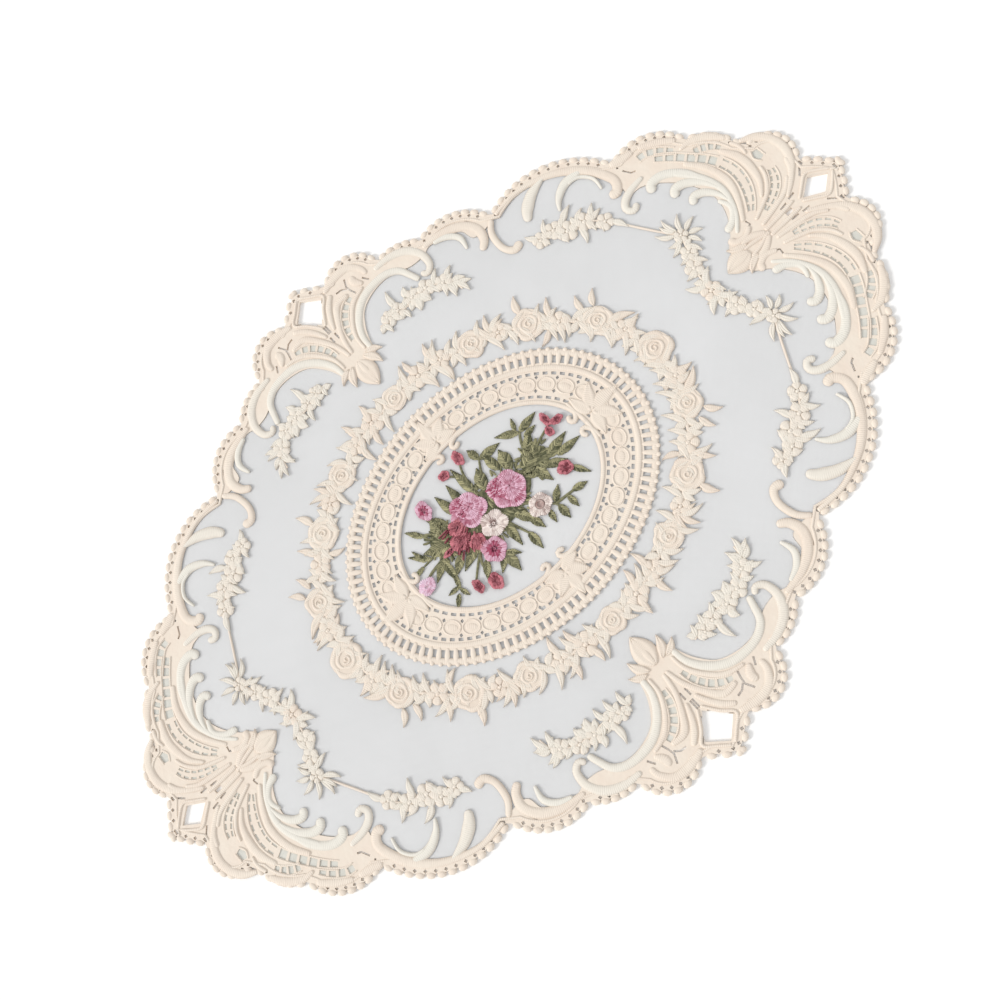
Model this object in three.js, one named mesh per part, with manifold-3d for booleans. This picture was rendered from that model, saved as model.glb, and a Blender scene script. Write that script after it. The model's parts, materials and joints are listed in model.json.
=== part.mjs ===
// Lace placemat: a sheer oval panel in a lace border, with an oval lace ring, a rose wreath, sprays and a
// bouquet. Millimetres, +Z up. The origin is under the middle of the mat, +X runs along its length.
// But for the bouquet the design is the same in all four quarters, so the tables give the quarter with x and
// y above 0.

import * as THREE from "three";
import { mergeVertices } from "three/addons/utils/BufferGeometryUtils.js";
import Module from "manifold-3d";

const wasm = await Module();
wasm.setup();

// Driving sizes
const HALF_LENGTH = 226;
const HALF_WIDTH = 157.5;
const GROUND_THICK = 1.0;
const CLEAR = 0.3;
const LACE_TOP = 1.8;
const CORD_TOP = 2.4;
const MOTIF_TOP = 2.2;
const FOLIAGE_TOP = 1.8;
const BLOOM_TOP = 2.9;
const PICOT_PITCH = 5.3;
const PICOT_DEPTH = 1.3;
const LADDER_BAR = 1.2;
const LEAF_BROADEST = 0.42;
const PETAL_NOTCH = 0.72;
const PETAL_CROWN = 0.7;
const SEAM_STEPS = 23;
const CORD_STEPS = 2;
const LADDER_STEPS = 20;
const COMMA_STEPS = 7;
const COLLAPSE = 0.06;
const THROUGH = 1;

const LACE_LOW = GROUND_THICK + CLEAR;
const BLOOM_LOW = FOLIAGE_TOP + CLEAR;
const QUARTERS = [[1, 1], [-1, 1], [-1, -1], [1, -1]];
const OPPOSITES = [[1, 1], [-1, -1]];

// Widths of the stems at the start, the middle and the end
const SPRAY_STEM_WIDE = [1.4, 2, 1.4];
const GARLAND_STEM_WIDE = [1.4, 2, 2];
const BOUQUET_STEM_WIDE = [1.2, 1.8, 2.2];
// Part of a turn, from the tail, at which the round side of a comma starts and ends
const COMMA_ROUND = [0.15, 0.85];

// Colours and roughness
const ORGANZA = { colour: 0xe2e2e3, roughness: 0.6 };
const BORDER_THREAD = { colour: 0xe9d8c8, roughness: 0.8 };
const RING_THREAD = { colour: 0xe6d3c3, roughness: 0.8 };
const FLOWER_THREAD = { colour: 0xe9d9c8, roughness: 0.8 };
const OLIVE_THREAD = { colour: 0x4d5428, roughness: 0.8 };
const BLOOM_ROUGHNESS = 0.75;

// Scallops of the outer edge, from the tip of the long side to the tip of the end: where each ends, and how
// far its middle stands out from its chord
const SCALLOPS = [
  { x: 14.5, y: 147.3, rise: 1.2 },
  { x: 43.5, y: 136.3, rise: 9.6 },
  { x: 65, y: 127.5, rise: 2.8 },
  { x: 98, y: 109.3, rise: 7.4 },
  { x: 156, y: 82, rise: 12.6 },
  { x: 188.5, y: 63.5, rise: 8 },
  { x: 203.5, y: 40, rise: 3.6 },
  { x: 215.2, y: 15.2, rise: 9.2 },
  { x: HALF_LENGTH, y: 0, rise: 0.8 },
];

// Seam between the lace and the panel
const SEAM = [
  { part: "long side fan",
    path: [[0, 100.5], [6, 100], [10.4, 101.6], [11.4, 106], [14.2, 113], [20, 120.6]] },
  { part: "arch", path: [[27.5, 124], [36, 125], [44, 123.4], [52, 119.5], [60, 118.6], [65, 120]] },
  { part: "second scallop",
    path: [[72, 120.2], [78, 117.8], [82, 113], [83.4, 106.5], [87.5, 104.6], [93, 104.8]] },
  { part: "third scallop",
    path: [[105, 105.6], [119, 104], [130, 99.6], [140, 92.6], [147.6, 83], [150.4, 74]] },
  { part: "end fan",
    path: [[149.6, 63.4], [156, 61.4], [162, 57.4], [168.4, 50.2], [172.6, 42.5], [175, 34]] },
  { part: "end fan foot", path: [[174.6, 26.6], [171.4, 19], [166, 12.2], [160.6, 7.6], [158.6, 0]] },
];

// Kite-shaped eyes at the four points, by the corner on the axis nearer the tip, the side corner and the
// inner corner
const KITES = [
  { tip: [0, 150], side: [8.8, 142.5], inner: [0, 132] },
  { tip: [217, 0], side: [209.5, 5.6], inner: [201, 0] },
];
// Comma-shaped eyes in the lobes
const COMMAS = [
  { x: 28.3, y: 137.2, radius: 3.3, tail: [32.5, 130.8] },
  { x: 205, y: 24.8, radius: 2.9, tail: [206.5, 19.2] },
];
// Ladder openwork: a row of cells along a curve
const LADDERS = [
  { part: "long side fan", path: [[8.3, 113], [11, 120], [15, 126.5], [21, 131]], wide: 4.4, cells: 3 },
  { part: "end fan, inner", wide: 5.2, cells: 7,
    path: [[174.8, 11], [180, 18.5], [182.8, 28], [182.2, 38.5], [177.8, 48], [171, 57.5]] },
  { part: "end fan, outer", wide: 4.6, cells: 10,
    path: [[186.5, 14.5], [190.2, 25], [190.6, 36], [187, 47], [180, 56.5], [171.5, 64.5], [161, 72]] },
];

// Raised cords of the border: the scrolls, ribs and plumes, by the width at the start, the middle and the end
const CORDS = [
  { part: "arch", wide: [3, 3.6, 6],
    path: [[10, 104], [14, 112], [20.5, 120.5], [31, 125.3], [42, 124.2], [50.5, 119], [53.8, 112]] },
  { part: "lobe foot", path: [[45, 129], [54.5, 127], [59.5, 121.5], [61, 113.5]], wide: [2, 3, 6] },
  { part: "second scallop leaf", path: [[64, 121], [72, 121.4], [79.5, 118.2], [84, 112], [84, 99.5]],
    wide: [2.4, 4.6, 8] },
  { part: "hook", path: [[96, 106], [91, 100], [89.8, 91], [93, 85.6], [98, 86.6]], wide: [3, 4, 5.6] },
  { part: "third scallop rib", wide: [2.6, 4.2, 7],
    path: [[99, 106], [115, 106.2], [132, 99.6], [144, 88.5], [150.2, 75], [142.5, 68.5]] },
  { part: "inner leaf", path: [[127, 101.2], [118, 100.6], [112.6, 96.8], [112.4, 90]], wide: [2.6, 4, 4.6] },
  { part: "fourth scallop curl", path: [[156, 63.5], [150, 62.5], [144.6, 56]], wide: [2.6, 3.6, 6] },
  { part: "plume", path: [[170.5, 57.5], [163, 56.2], [155, 51.2]], wide: [4.6, 5, 1.6] },
  { part: "plume", path: [[174.8, 48], [168, 47.2], [160.6, 43]], wide: [4.6, 5, 1.6] },
  { part: "plume", path: [[177.2, 38], [171, 37], [163.6, 34]], wide: [4, 4.6, 1.6] },
  { part: "end fan inner rib", path: [[168.8, 10.5], [176, 19], [178.6, 32], [173.6, 46.5], [166, 56]],
    wide: [1.8, 2, 1.8] },
  { part: "end fan outer rib", path: [[189.6, 13], [194.6, 27], [191.8, 45], [181.6, 60.4], [165.4, 73.6]],
    wide: [1.8, 2, 1.8] },
  { part: "inner curl", path: [[161, 14.5], [167.5, 16], [171.4, 23], [171.4, 30]], wide: [5, 3.4, 2] },
];
// Leaves of the border, by their foot, length, greatest width and turn in degrees
const BORDER_LEAVES = [
  { x: 142.5, y: 92, length: 16, wide: 6.4, turn: 195 },
];
const FAN_LEAVES = [
  { x: 0, y: 104, length: 17, wide: 8.4, turn: -90 },
  { x: 166, y: 0, length: 14, wide: 9, turn: 180 },
];

// Oval ring: half lengths and half widths of its runs
const RING = {
  outer: [85.5, 62.5],
  slotOut: [83.5, 60.5],
  slotIn: [77.2, 54.6],
  lozenge: [67, 47],
  inner: [55.5, 39.5],
};
const RING_STEPS = 40;
const RING_SLOTS = 36;
const RING_SLOT_WIDE = 4.3;
const RAIL_WIDE = 1.8;
const LOZENGES = [
  { at: 20, long: 11, wide: 6.4 },
  { at: 41, long: 12, wide: 8 },
  { at: 64, long: 11, wide: 6.4 },
];
const PALMETTE_LEAF_WIDE = 6.4;
const PALMETTE_LEANS = [{ lean: -48, share: 0.8 }, { lean: 0, share: 1 }, { lean: 48, share: 0.8 }];
const PALMETTES = [
  { x: 0, y: 46, reach: 11, turn: 90 },
  { x: 64, y: 0, reach: 14, turn: 0 },
];

// Wreath: the vine, then its flowers and leaves
const WREATH_VINE = [[0, 76], [18, 75], [34, 71], [52, 65], [68, 55], [81, 45], [91, 32], [99, 17], [102, 0]];
const VINE_WIDE = 2;
const WREATH_FLOWERS = [
  { x: 43.5, y: 67.5, radius: 7.8, petals: 5, turn: 10 },
  { x: 70.5, y: 53.5, radius: 8.8, petals: 5, turn: 30 },
  { x: 95, y: 28.5, radius: 6.8, petals: 5, turn: 0 },
  { x: 16, y: 75, radius: 5.5, petals: 5, turn: 18 },
  { x: 29, y: 73, radius: 5, petals: 5, turn: 50 },
  { x: 81, y: 43, radius: 5, petals: 5, turn: 40 },
];
const WREATH_AXIS_FLOWERS = [
  { x: 0, y: 76, radius: 7, petals: 6, turn: 0 },
  { x: 103, y: 0, radius: 9.5, petals: 6, turn: 0 },
];
const WREATH_LEAVES = [
  { x: 27, y: 75, length: 12, wide: 4.4, turn: 80 },
  { x: 28, y: 71, length: 11, wide: 4.4, turn: -95 },
  { x: 56, y: 63, length: 13, wide: 4.6, turn: 50 },
  { x: 72, y: 57, length: 12, wide: 5, turn: 68 },
  { x: 81, y: 46, length: 11, wide: 4.4, turn: 60 },
  { x: 95, y: 25, length: 15, wide: 5.6, turn: -25 },
];

// Sprays by the long sides, one in each quarter
const SPRAY_STEM = [[20, 108.3], [30, 106.2], [41, 105.6], [51, 104.6], [60, 98.6], [62, 91]];
const SPRAY_FLOWERS = [
  { x: 31.5, y: 107, radius: 5, petals: 5, turn: 0 },
  { x: 42, y: 106.5, radius: 5.2, petals: 5, turn: 30 },
  { x: 52, y: 105, radius: 4.8, petals: 5, turn: 10 },
  { x: 60.5, y: 99, radius: 4.4, petals: 5, turn: 40 },
];
const SPRAY_LEAVES = [
  { x: 34, y: 107.5, length: 12, wide: 4.2, turn: 78 },
  { x: 44.2, y: 105.2, length: 11.6, wide: 4.2, turn: -106 },
  { x: 61, y: 97, length: 10, wide: 4.2, turn: -72 },
];

// Side garlands: the half with y above 0
const GARLAND_STEM = [
  [104, 80], [115, 77], [126, 70], [135.4, 59.4], [144, 41], [150, 28], [145, 15], [141, 0],
];
const GARLAND_FLOWERS = [
  { x: 106, y: 78.5, radius: 4.6, petals: 5, turn: 0 },
  { x: 114.5, y: 77.5, radius: 5.2, petals: 5, turn: 30 },
  { x: 125, y: 71.5, radius: 5, petals: 5, turn: 0 },
  { x: 133.5, y: 62, radius: 5, petals: 5, turn: 20 },
  { x: 150.5, y: 28, radius: 5.6, petals: 5, turn: 50 },
];
const GARLAND_LEAVES = [
  { x: 118, y: 78, length: 10, wide: 4.4, turn: 26 },
  { x: 111.5, y: 76.5, length: 10, wide: 4, turn: -78 },
  { x: 136, y: 60, length: 9, wide: 4, turn: -66 },
  { x: 151, y: 31, length: 9, wide: 4, turn: 58 },
  { x: 148, y: 30, length: 10, wide: 4, turn: 150 },
];
const GARLAND_AXIS_FLOWERS = [{ x: 141, y: 0, radius: 5.4, petals: 5, turn: 0 }];

// Bouquet in the middle, which is not the same in the four quarters
const BOUQUET_BED = { x: -3, y: 1, long: 27, wide: 12.5, steps: 12 };
const BOUQUET_STEMS = [
  { part: "left branch", path: [[-46, 5], [-34, 5], [-22, 4]] },
  { part: "left plume", path: [[-41, 23], [-36, 16], [-27, 6]] },
  { part: "left low branch", path: [[-40, 1], [-30, 2.5], [-22, 3]] },
  { part: "pale flower stalk", path: [[-54, -3], [-46, 0], [-37, 1]] },
  { part: "pink bud stalk", path: [[-28, 24], [-29, 14], [-26, 4]] },
  { part: "low left bud stalk", path: [[-34, -19], [-24, -11], [-12, -4]] },
  { part: "low bud stalk", path: [[-26, -24], [-25, -14], [-19, -6]] },
  { part: "low spray", path: [[-14, -26], [-12.5, -16], [-8, -6]] },
  { part: "middle low spray", path: [[1, -20], [-1, -14], [-3, -8]] },
  { part: "low right spray", path: [[20, -22], [19, -18.5], [13, -12], [8, -7]] },
  { part: "low right twig", path: [[34, -21], [27, -20], [19.5, -19]] },
  { part: "right top bud stalk", path: [[1, 30], [-2.5, 22], [-3.5, 11]] },
  { part: "left top bud stalk", path: [[-9, 29], [-5, 24], [-4, 14]] },
  { part: "top sprig", path: [[9, 24], [5, 18], [2, 10]] },
  { part: "right top spray", path: [[40, 20], [31, 18], [24, 5]] },
  { part: "red cluster stalk", path: [[44, 11], [34, 8], [23, 4]] },
  { part: "right branch", path: [[20, 3], [34, -1], [44, -3]] },
  { part: "red bud stalk", path: [[38, -13], [34, -7], [22, 1]] },
];
const BOUQUET_LEAVES = [
  { x: -36.5, y: 15.5, length: 10, wide: 3.4, turn: 123 },
  { x: -41, y: 5, length: 12, wide: 3.4, turn: 132 },
  { x: -36, y: 1.5, length: 13, wide: 4.4, turn: 212 },
  { x: -37.5, y: 0.5, length: 14, wide: 4.4, turn: 264 },
  { x: -29, y: 5, length: 16, wide: 9, turn: 88 },
  { x: -18, y: -4, length: 17, wide: 6, turn: 204 },
  { x: -30, y: 3, length: 14, wide: 7.4, turn: 152 },
  { x: -17.5, y: 11, length: 15, wide: 5.4, turn: 98 },
  { x: -12, y: 11.5, length: 14.5, wide: 5, turn: 89 },
  { x: -4, y: 12, length: 18, wide: 5.4, turn: 93 },
  { x: 0, y: 10, length: 12, wide: 7, turn: 68 },
  { x: 8.5, y: 23, length: 8, wide: 4.6, turn: 100 },
  { x: 8.5, y: 23, length: 12.5, wide: 5, turn: -6 },
  { x: 16, y: 8, length: 12, wide: 7.4, turn: 80 },
  { x: 31, y: 18.3, length: 12.5, wide: 4.4, turn: 146 },
  { x: 31, y: 18.5, length: 12.5, wide: 4.6, turn: 6 },
  { x: 21, y: 4, length: 13, wide: 10, turn: 20 },
  { x: 32, y: 0, length: 15, wide: 5.4, turn: 9 },
  { x: 36, y: -3, length: 14, wide: 4.6, turn: -4 },
  { x: 24, y: 1.5, length: 12, wide: 5.4, turn: -78 },
  { x: 36.3, y: -10.8, length: 11, wide: 3.6, turn: -60 },
  { x: 2, y: -8, length: 14, wide: 5, turn: -58 },
  { x: -4, y: -8, length: 14, wide: 5, turn: -95 },
  { x: 1, y: -19, length: 11, wide: 4.6, turn: -92 },
  { x: -13.5, y: -18, length: 12, wide: 5.6, turn: -92 },
  { x: -13, y: -17.5, length: 11, wide: 4, turn: 220 },
  { x: 20, y: -20, length: 9, wide: 4.6, turn: -92 },
  { x: 19.5, y: -18.5, length: 9, wide: 4, turn: 38 },
  { x: 29, y: -20, length: 8.5, wide: 4, turn: -15 },
];
const BOUQUET_BLOOMS = [
  { name: "rose_left", x: -12.6, y: 9.4, radius: 9.4, petals: 7, turn: 0, colour: 0xc98aa6 },
  { name: "rose_right", x: 9.6, y: 2.2, radius: 9.2, petals: 7, turn: 20, colour: 0xd283a3 },
  { name: "cream_flower", x: -8, y: -5.6, radius: 5.4, petals: 6, turn: 0, colour: 0xf0d8cf },
  { name: "deep_petals", x: -26, y: 1.6, radius: 5.2, petals: 5, turn: 0, colour: 0x9c1830 },
  { name: "pink_flower", x: -16, y: -14.2, radius: 5.8, petals: 5, turn: 20, colour: 0xdc93a8 },
  { name: "pink_bud", x: -28, y: 24.5, radius: 5, petals: 5, turn: 0, colour: 0xc87a9a },
  { name: "eyelet_flower", x: 13.6, y: -14.6, radius: 5.2, petals: 5, turn: 0, colour: 0xe9dcc9 },
  { name: "pale_flower", x: -50.6, y: -3.6, radius: 3.8, petals: 5, turn: 0, colour: 0xe8d6e0 },
  { name: "red_cluster", x: 43.5, y: 11, radius: 4.8, petals: 5, turn: 10, colour: 0x8a1620 },
  { name: "red_bud_right", x: 34.6, y: -10, radius: 4, petals: 5, turn: 0, colour: 0x93202c },
  { name: "red_bud_top_left", x: -9, y: 29.6, radius: 3.4, petals: 5, turn: 40, colour: 0x9c2a34 },
  { name: "red_bud_top_right", x: 1.4, y: 31, radius: 3.4, petals: 5, turn: 0, colour: 0x9c2a34 },
  { name: "red_bud_low_left", x: -33.6, y: -20.6, radius: 3.4, petals: 5, turn: 0, colour: 0xb02448 },
  { name: "red_bud_low", x: -26, y: -25, radius: 4, petals: 5, turn: 0, colour: 0x8a1620 },
];

// Shapes in the plane

const joined = (rows) => rows.flatMap((row) => row.path);
const quarterOf = (points, [sx, sy]) => points.map(([x, y]) => [x * sx, y * sy]);

// A quarter's run from the y axis to the x axis, repeated round all four quarters
function round(quarter) {
  const half = [...quarter, ...quarterOf(quarter, [1, -1]).reverse().slice(1)];
  return [...half, ...quarterOf(half, [-1, 1]).reverse().slice(1, -1)];
}

function curve(points, steps) {
  const spline = new THREE.SplineCurve(points.map(([x, y]) => new THREE.Vector2(x, y)));
  return spline.getPoints(steps).map((p) => [p.x, p.y]);
}

// Points moved sideways from a path, to the left where the distance is above 0
function beside(path, distance) {
  return path.map(([x, y], i) => {
    const [ax, ay] = path[Math.max(i - 1, 0)];
    const [bx, by] = path[Math.min(i + 1, path.length - 1)];
    const run = Math.hypot(bx - ax, by - ay);
    const d = distance(i / (path.length - 1));
    return [x - ((by - ay) / run) * d, y + ((bx - ax) / run) * d];
  });
}

const besideRound = (loop, distance) => beside([loop.at(-1), ...loop, loop[0]], () => distance).slice(1, -1);

// The outer edge: each scallop is an arc, and each picot on it a small tooth
function picotEdge() {
  const edge = [];
  let [x0, y0] = [0, HALF_WIDTH];
  SCALLOPS.forEach(({ x, y, rise }, row) => {
    const chord = Math.hypot(x - x0, y - y0);
    const out = [-(y - y0) / chord, (x - x0) / chord];
    const radius = (chord * chord) / (8 * rise) + rise / 2;
    const sweep = 2 * Math.asin(chord / 2 / radius);
    const whole = rise > chord / 2 ? 2 * Math.PI - sweep : sweep;
    const first = row === 0;
    const last = row === SCALLOPS.length - 1;
    const picots = Math.round((radius * whole) / PICOT_PITCH);
    const steps = 2 * picots - (first || last ? 1 : 0);
    const peak = first ? 0 : 1;
    for (let i = 0; i < steps + (last ? 1 : 0); i += 1) {
      const angle = (i / steps - 0.5) * whole;
      const reach = radius + (i % 2 === peak ? 0 : -PICOT_DEPTH);
      const along = 0.5 * chord + Math.sin(angle) * reach;
      const rises = Math.cos(angle) * reach - (radius - rise);
      edge.push([
        x0 + ((x - x0) / chord) * along + out[0] * rises,
        y0 + ((y - y0) / chord) * along + out[1] * rises,
      ]);
    }
    [x0, y0] = [x, y];
  });
  return edge;
}

function leafOutline({ x, y, length, wide, turn }) {
  const local = [[0, 0], [LEAF_BROADEST, 0.5], [1, 0], [LEAF_BROADEST, -0.5]];
  const [c, s] = [Math.cos(THREE.MathUtils.degToRad(turn)), Math.sin(THREE.MathUtils.degToRad(turn))];
  return local.map(([a, b]) => [x + c * a * length - s * b * wide, y + s * a * length + c * b * wide]);
}

function flowerOutline({ x, y, radius, petals, turn }) {
  const points = [];
  for (let i = 0; i < petals * 2; i += 1) {
    const angle = (i / (petals * 2)) * 2 * Math.PI + THREE.MathUtils.degToRad(turn);
    const reach = i % 2 === 0 ? radius * PETAL_NOTCH : radius;
    points.push([x + Math.cos(angle) * reach, y + Math.sin(angle) * reach]);
  }
  return points;
}

function ovalOutline([a, b], steps) {
  return Array.from({ length: steps }, (_, i) => {
    const angle = (i / steps) * 2 * Math.PI;
    return [a * Math.cos(angle), b * Math.sin(angle)];
  });
}

function commaOutline({ x, y, radius, tail }) {
  const away = Math.atan2(tail[1] - y, tail[0] - x);
  const rim = Array.from({ length: COMMA_STEPS + 1 }, (_, i) => {
    const angle = away + 2 * Math.PI * THREE.MathUtils.lerp(...COMMA_ROUND, i / COMMA_STEPS);
    return [x + Math.cos(angle) * radius, y + Math.sin(angle) * radius];
  });
  return [tail, ...rim];
}

// A cord along a curve, with its width given at the start, the middle and the end
function cordOutline({ path, wide }) {
  const line = curve(path, Math.max(path.length - 1, CORD_STEPS));
  const half = (t) => 0.5 * (t < 0.5
    ? THREE.MathUtils.lerp(wide[0], wide[1], 2 * t)
    : THREE.MathUtils.lerp(wide[1], wide[2], 2 * t - 1));
  return [...beside(line, half), ...beside(line, (t) => -half(t)).reverse()];
}

// The cells of a ladder, with a bar between each two
function ladderCells({ path, wide, cells }) {
  const spline = new THREE.SplineCurve(path.map(([x, y]) => new THREE.Vector2(x, y)));
  const line = spline.getSpacedPoints(cells * LADDER_STEPS).map((p) => [p.x, p.y]);
  const left = beside(line, () => wide / 2);
  const right = beside(line, () => -wide / 2);
  const pitch = spline.getLength() / cells;
  const bar = Math.round((LADDER_BAR / 2 / pitch) * LADDER_STEPS);
  return Array.from({ length: cells }, (_, i) => {
    const [a, b] = [i * LADDER_STEPS + bar, (i + 1) * LADDER_STEPS - bar];
    return [left[a], left[b], right[b], right[a]];
  });
}

// Solids

function flat(outline, low, high) {
  const shape = new THREE.Shape(outline.map(([x, y]) => new THREE.Vector2(x, y)));
  const geometry = new THREE.ExtrudeGeometry(shape, {
    depth: high - low, bevelEnabled: false, curveSegments: 1,
  });
  geometry.translate(0, 0, low);
  return geometry;
}

// A flat solid whose top face is drawn in towards a point, so that its sides slope like a stitched pad
function padded(outline, low, high, { x, y }, keep) {
  const geometry = flat(outline, low, high);
  const place = geometry.attributes.position;
  for (let i = 0; i < place.count; i += 1) {
    if (place.getZ(i) > (low + high) / 2) {
      place.setX(i, x + (place.getX(i) - x) * keep);
      place.setY(i, y + (place.getY(i) - y) * keep);
    }
  }
  return geometry;
}

function solid(geometry) {
  geometry.deleteAttribute("normal");
  geometry.deleteAttribute("uv");
  const merged = mergeVertices(geometry, 1e-4);
  return new wasm.Manifold(new wasm.Mesh({
    numProp: 3,
    vertProperties: new Float32Array(merged.attributes.position.array),
    triVerts: new Uint32Array(merged.index.array),
  }));
}

// Solids added up in pairs, which keeps each step small
function sum(solids) {
  let level = solids;
  while (level.length > 1) {
    level = Array.from({ length: Math.ceil(level.length / 2) }, (_, i) => (
      2 * i + 1 < level.length ? level[2 * i].add(level[2 * i + 1]) : level[2 * i]));
  }
  return level[0];
}

function everyQuarter(rows, outlineOf, low, high) {
  return rows.flatMap((row) => QUARTERS.flatMap((signs) => {
    const outlines = outlineOf(row);
    return outlines.map((outline) => solid(flat(quarterOf(outline, signs), low, high)));
  }));
}

function flowerSolid(flower, signs, low, high) {
  const at = { x: flower.x * signs[0], y: flower.y * signs[1] };
  return solid(padded(quarterOf(flowerOutline(flower), signs), low, high, at, PETAL_CROWN));
}

const part = new THREE.Group();

function place(name, body, { colour, roughness }) {
  const mesh = body.simplify(COLLAPSE).getMesh();
  const geometry = new THREE.BufferGeometry();
  geometry.setAttribute("position", new THREE.BufferAttribute(new Float32Array(mesh.vertProperties), 3));
  geometry.setIndex(new THREE.BufferAttribute(new Uint32Array(mesh.triVerts), 1));
  geometry.computeVertexNormals();
  const surface = new THREE.MeshStandardMaterial({ color: colour, roughness, metalness: 0 });
  const piece = new THREE.Mesh(geometry, surface);
  piece.name = name;
  part.add(piece);
}

// Sheer panel
const seam = round(curve(joined(SEAM), SEAM_STEPS));
place("sheer_ground", solid(flat(besideRound(seam, -CLEAR), 0, GROUND_THICK)), ORGANZA);

// Lace border, with raised cords that lap over the panel's edge, and the eyes cut through
{
  const band = solid(flat(round(picotEdge()), 0, LACE_TOP))
    .subtract(solid(flat(seam, -THROUGH, LACE_TOP + THROUGH)));
  const raised = sum([
    ...everyQuarter(CORDS, (row) => [cordOutline(row)], LACE_LOW, CORD_TOP),
    ...everyQuarter(BORDER_LEAVES, (row) => [leafOutline(row)], LACE_LOW, CORD_TOP),
    ...everyQuarter(FAN_LEAVES, (row) => [leafOutline(row)], LACE_LOW, CORD_TOP),
  ]);
  const eyes = sum([
    ...everyQuarter(KITES, ({ tip, side, inner }) => {
      const across = side.map((v, i) => (tip[i] === 0 ? -v : v));
      return [[tip, side, inner, across]];
    }, -THROUGH, CORD_TOP + THROUGH),
    ...everyQuarter(COMMAS, (row) => [commaOutline(row)], -THROUGH, CORD_TOP + THROUGH),
    ...everyQuarter(LADDERS, (row) => ladderCells(row), -THROUGH, CORD_TOP + THROUGH),
  ]);
  place("lace_border", band.add(raised).subtract(eyes), BORDER_THREAD);
}

// Oval ring
{
  const band = solid(flat(ovalOutline(RING.outer, RING_STEPS), LACE_LOW, LACE_TOP))
    .subtract(solid(flat(ovalOutline(RING.inner, RING_STEPS), 0, LACE_TOP + THROUGH)));
  const rails = [RING.outer, RING.inner.map((half) => half + RAIL_WIDE)].map((halves) => {
    const hole = ovalOutline(halves.map((half) => half - RAIL_WIDE), RING_STEPS);
    return solid(flat(ovalOutline(halves, RING_STEPS), LACE_LOW, MOTIF_TOP))
      .subtract(solid(flat(hole, 0, MOTIF_TOP + THROUGH)));
  });
  const slots = Array.from({ length: RING_SLOTS }, (_, i) => {
    const corners = [[RING.slotOut, -1], [RING.slotOut, 1], [RING.slotIn, 1], [RING.slotIn, -1]];
    const middle = ((i + 0.5) / RING_SLOTS) * 2 * Math.PI;
    const outline = corners.map(([[a, b], side]) => {
      const reach = Math.hypot(a * Math.sin(middle), b * Math.cos(middle));
      const angle = middle + (side * RING_SLOT_WIDE) / 2 / reach;
      return [a * Math.cos(angle), b * Math.sin(angle)];
    });
    return solid(flat(outline, 0, MOTIF_TOP + THROUGH));
  });
  const lozenges = LOZENGES.flatMap(({ at, long, wide }) => QUARTERS.map((signs) => {
    const angle = THREE.MathUtils.degToRad(at);
    const [a, b] = RING.lozenge;
    const [x, y] = [a * Math.cos(angle), b * Math.sin(angle)];
    const lean = Math.atan2(b * Math.cos(angle), -a * Math.sin(angle));
    const [c, s] = [Math.cos(lean), Math.sin(lean)];
    const outline = [[long / 2, 0], [0, wide / 2], [-long / 2, 0], [0, -wide / 2]]
      .map(([u, v]) => [x + c * u - s * v, y + s * u + c * v]);
    return solid(flat(quarterOf(outline, signs), LACE_LOW, MOTIF_TOP));
  }));
  const palmettes = PALMETTES.flatMap(({ x, y, reach, turn }) => PALMETTE_LEANS.flatMap(({ lean, share }) => {
    const leaf = leafOutline({ x, y, length: reach * share, wide: PALMETTE_LEAF_WIDE, turn: turn + lean });
    return OPPOSITES.map((signs) => solid(flat(quarterOf(leaf, signs), LACE_LOW, CORD_TOP)));
  }));
  const openBand = sum([band, ...rails]).subtract(sum(slots));
  place("oval_ring", openBand.add(sum([...lozenges, ...palmettes])), RING_THREAD);
}

// Rose wreath on one closed vine
{
  const vine = round(curve(WREATH_VINE, WREATH_VINE.length - 1));
  const loop = solid(flat(besideRound(vine, VINE_WIDE / 2), LACE_LOW, LACE_TOP))
    .subtract(solid(flat(besideRound(vine, -VINE_WIDE / 2), 0, LACE_TOP + THROUGH)));
  const flowers = WREATH_FLOWERS.flatMap((row) => (
    QUARTERS.map((signs) => flowerSolid(row, signs, LACE_LOW, CORD_TOP))));
  const axisFlowers = WREATH_AXIS_FLOWERS.flatMap((row) => (
    OPPOSITES.map((signs) => flowerSolid(row, signs, LACE_LOW, CORD_TOP))));
  const leaves = everyQuarter(WREATH_LEAVES, (row) => [leafOutline(row)], LACE_LOW, MOTIF_TOP);
  place("rose_wreath", sum([loop, ...flowers, ...axisFlowers, ...leaves]), FLOWER_THREAD);
}

// Sprays by the long sides
const CORNER_NAMES = ["top_right", "top_left", "bottom_left", "bottom_right"];
QUARTERS.forEach((signs, i) => {
  const line = cordOutline({ path: SPRAY_STEM, wide: SPRAY_STEM_WIDE });
  const stem = solid(flat(quarterOf(line, signs), LACE_LOW, LACE_TOP));
  const flowers = SPRAY_FLOWERS.map((row) => flowerSolid(row, signs, LACE_LOW, CORD_TOP));
  const leaves = SPRAY_LEAVES.map((row) => (
    solid(flat(quarterOf(leafOutline(row), signs), LACE_LOW, MOTIF_TOP))));
  place(`spray_${CORNER_NAMES[i]}`, sum([stem, ...flowers, ...leaves]), FLOWER_THREAD);
});

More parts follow.
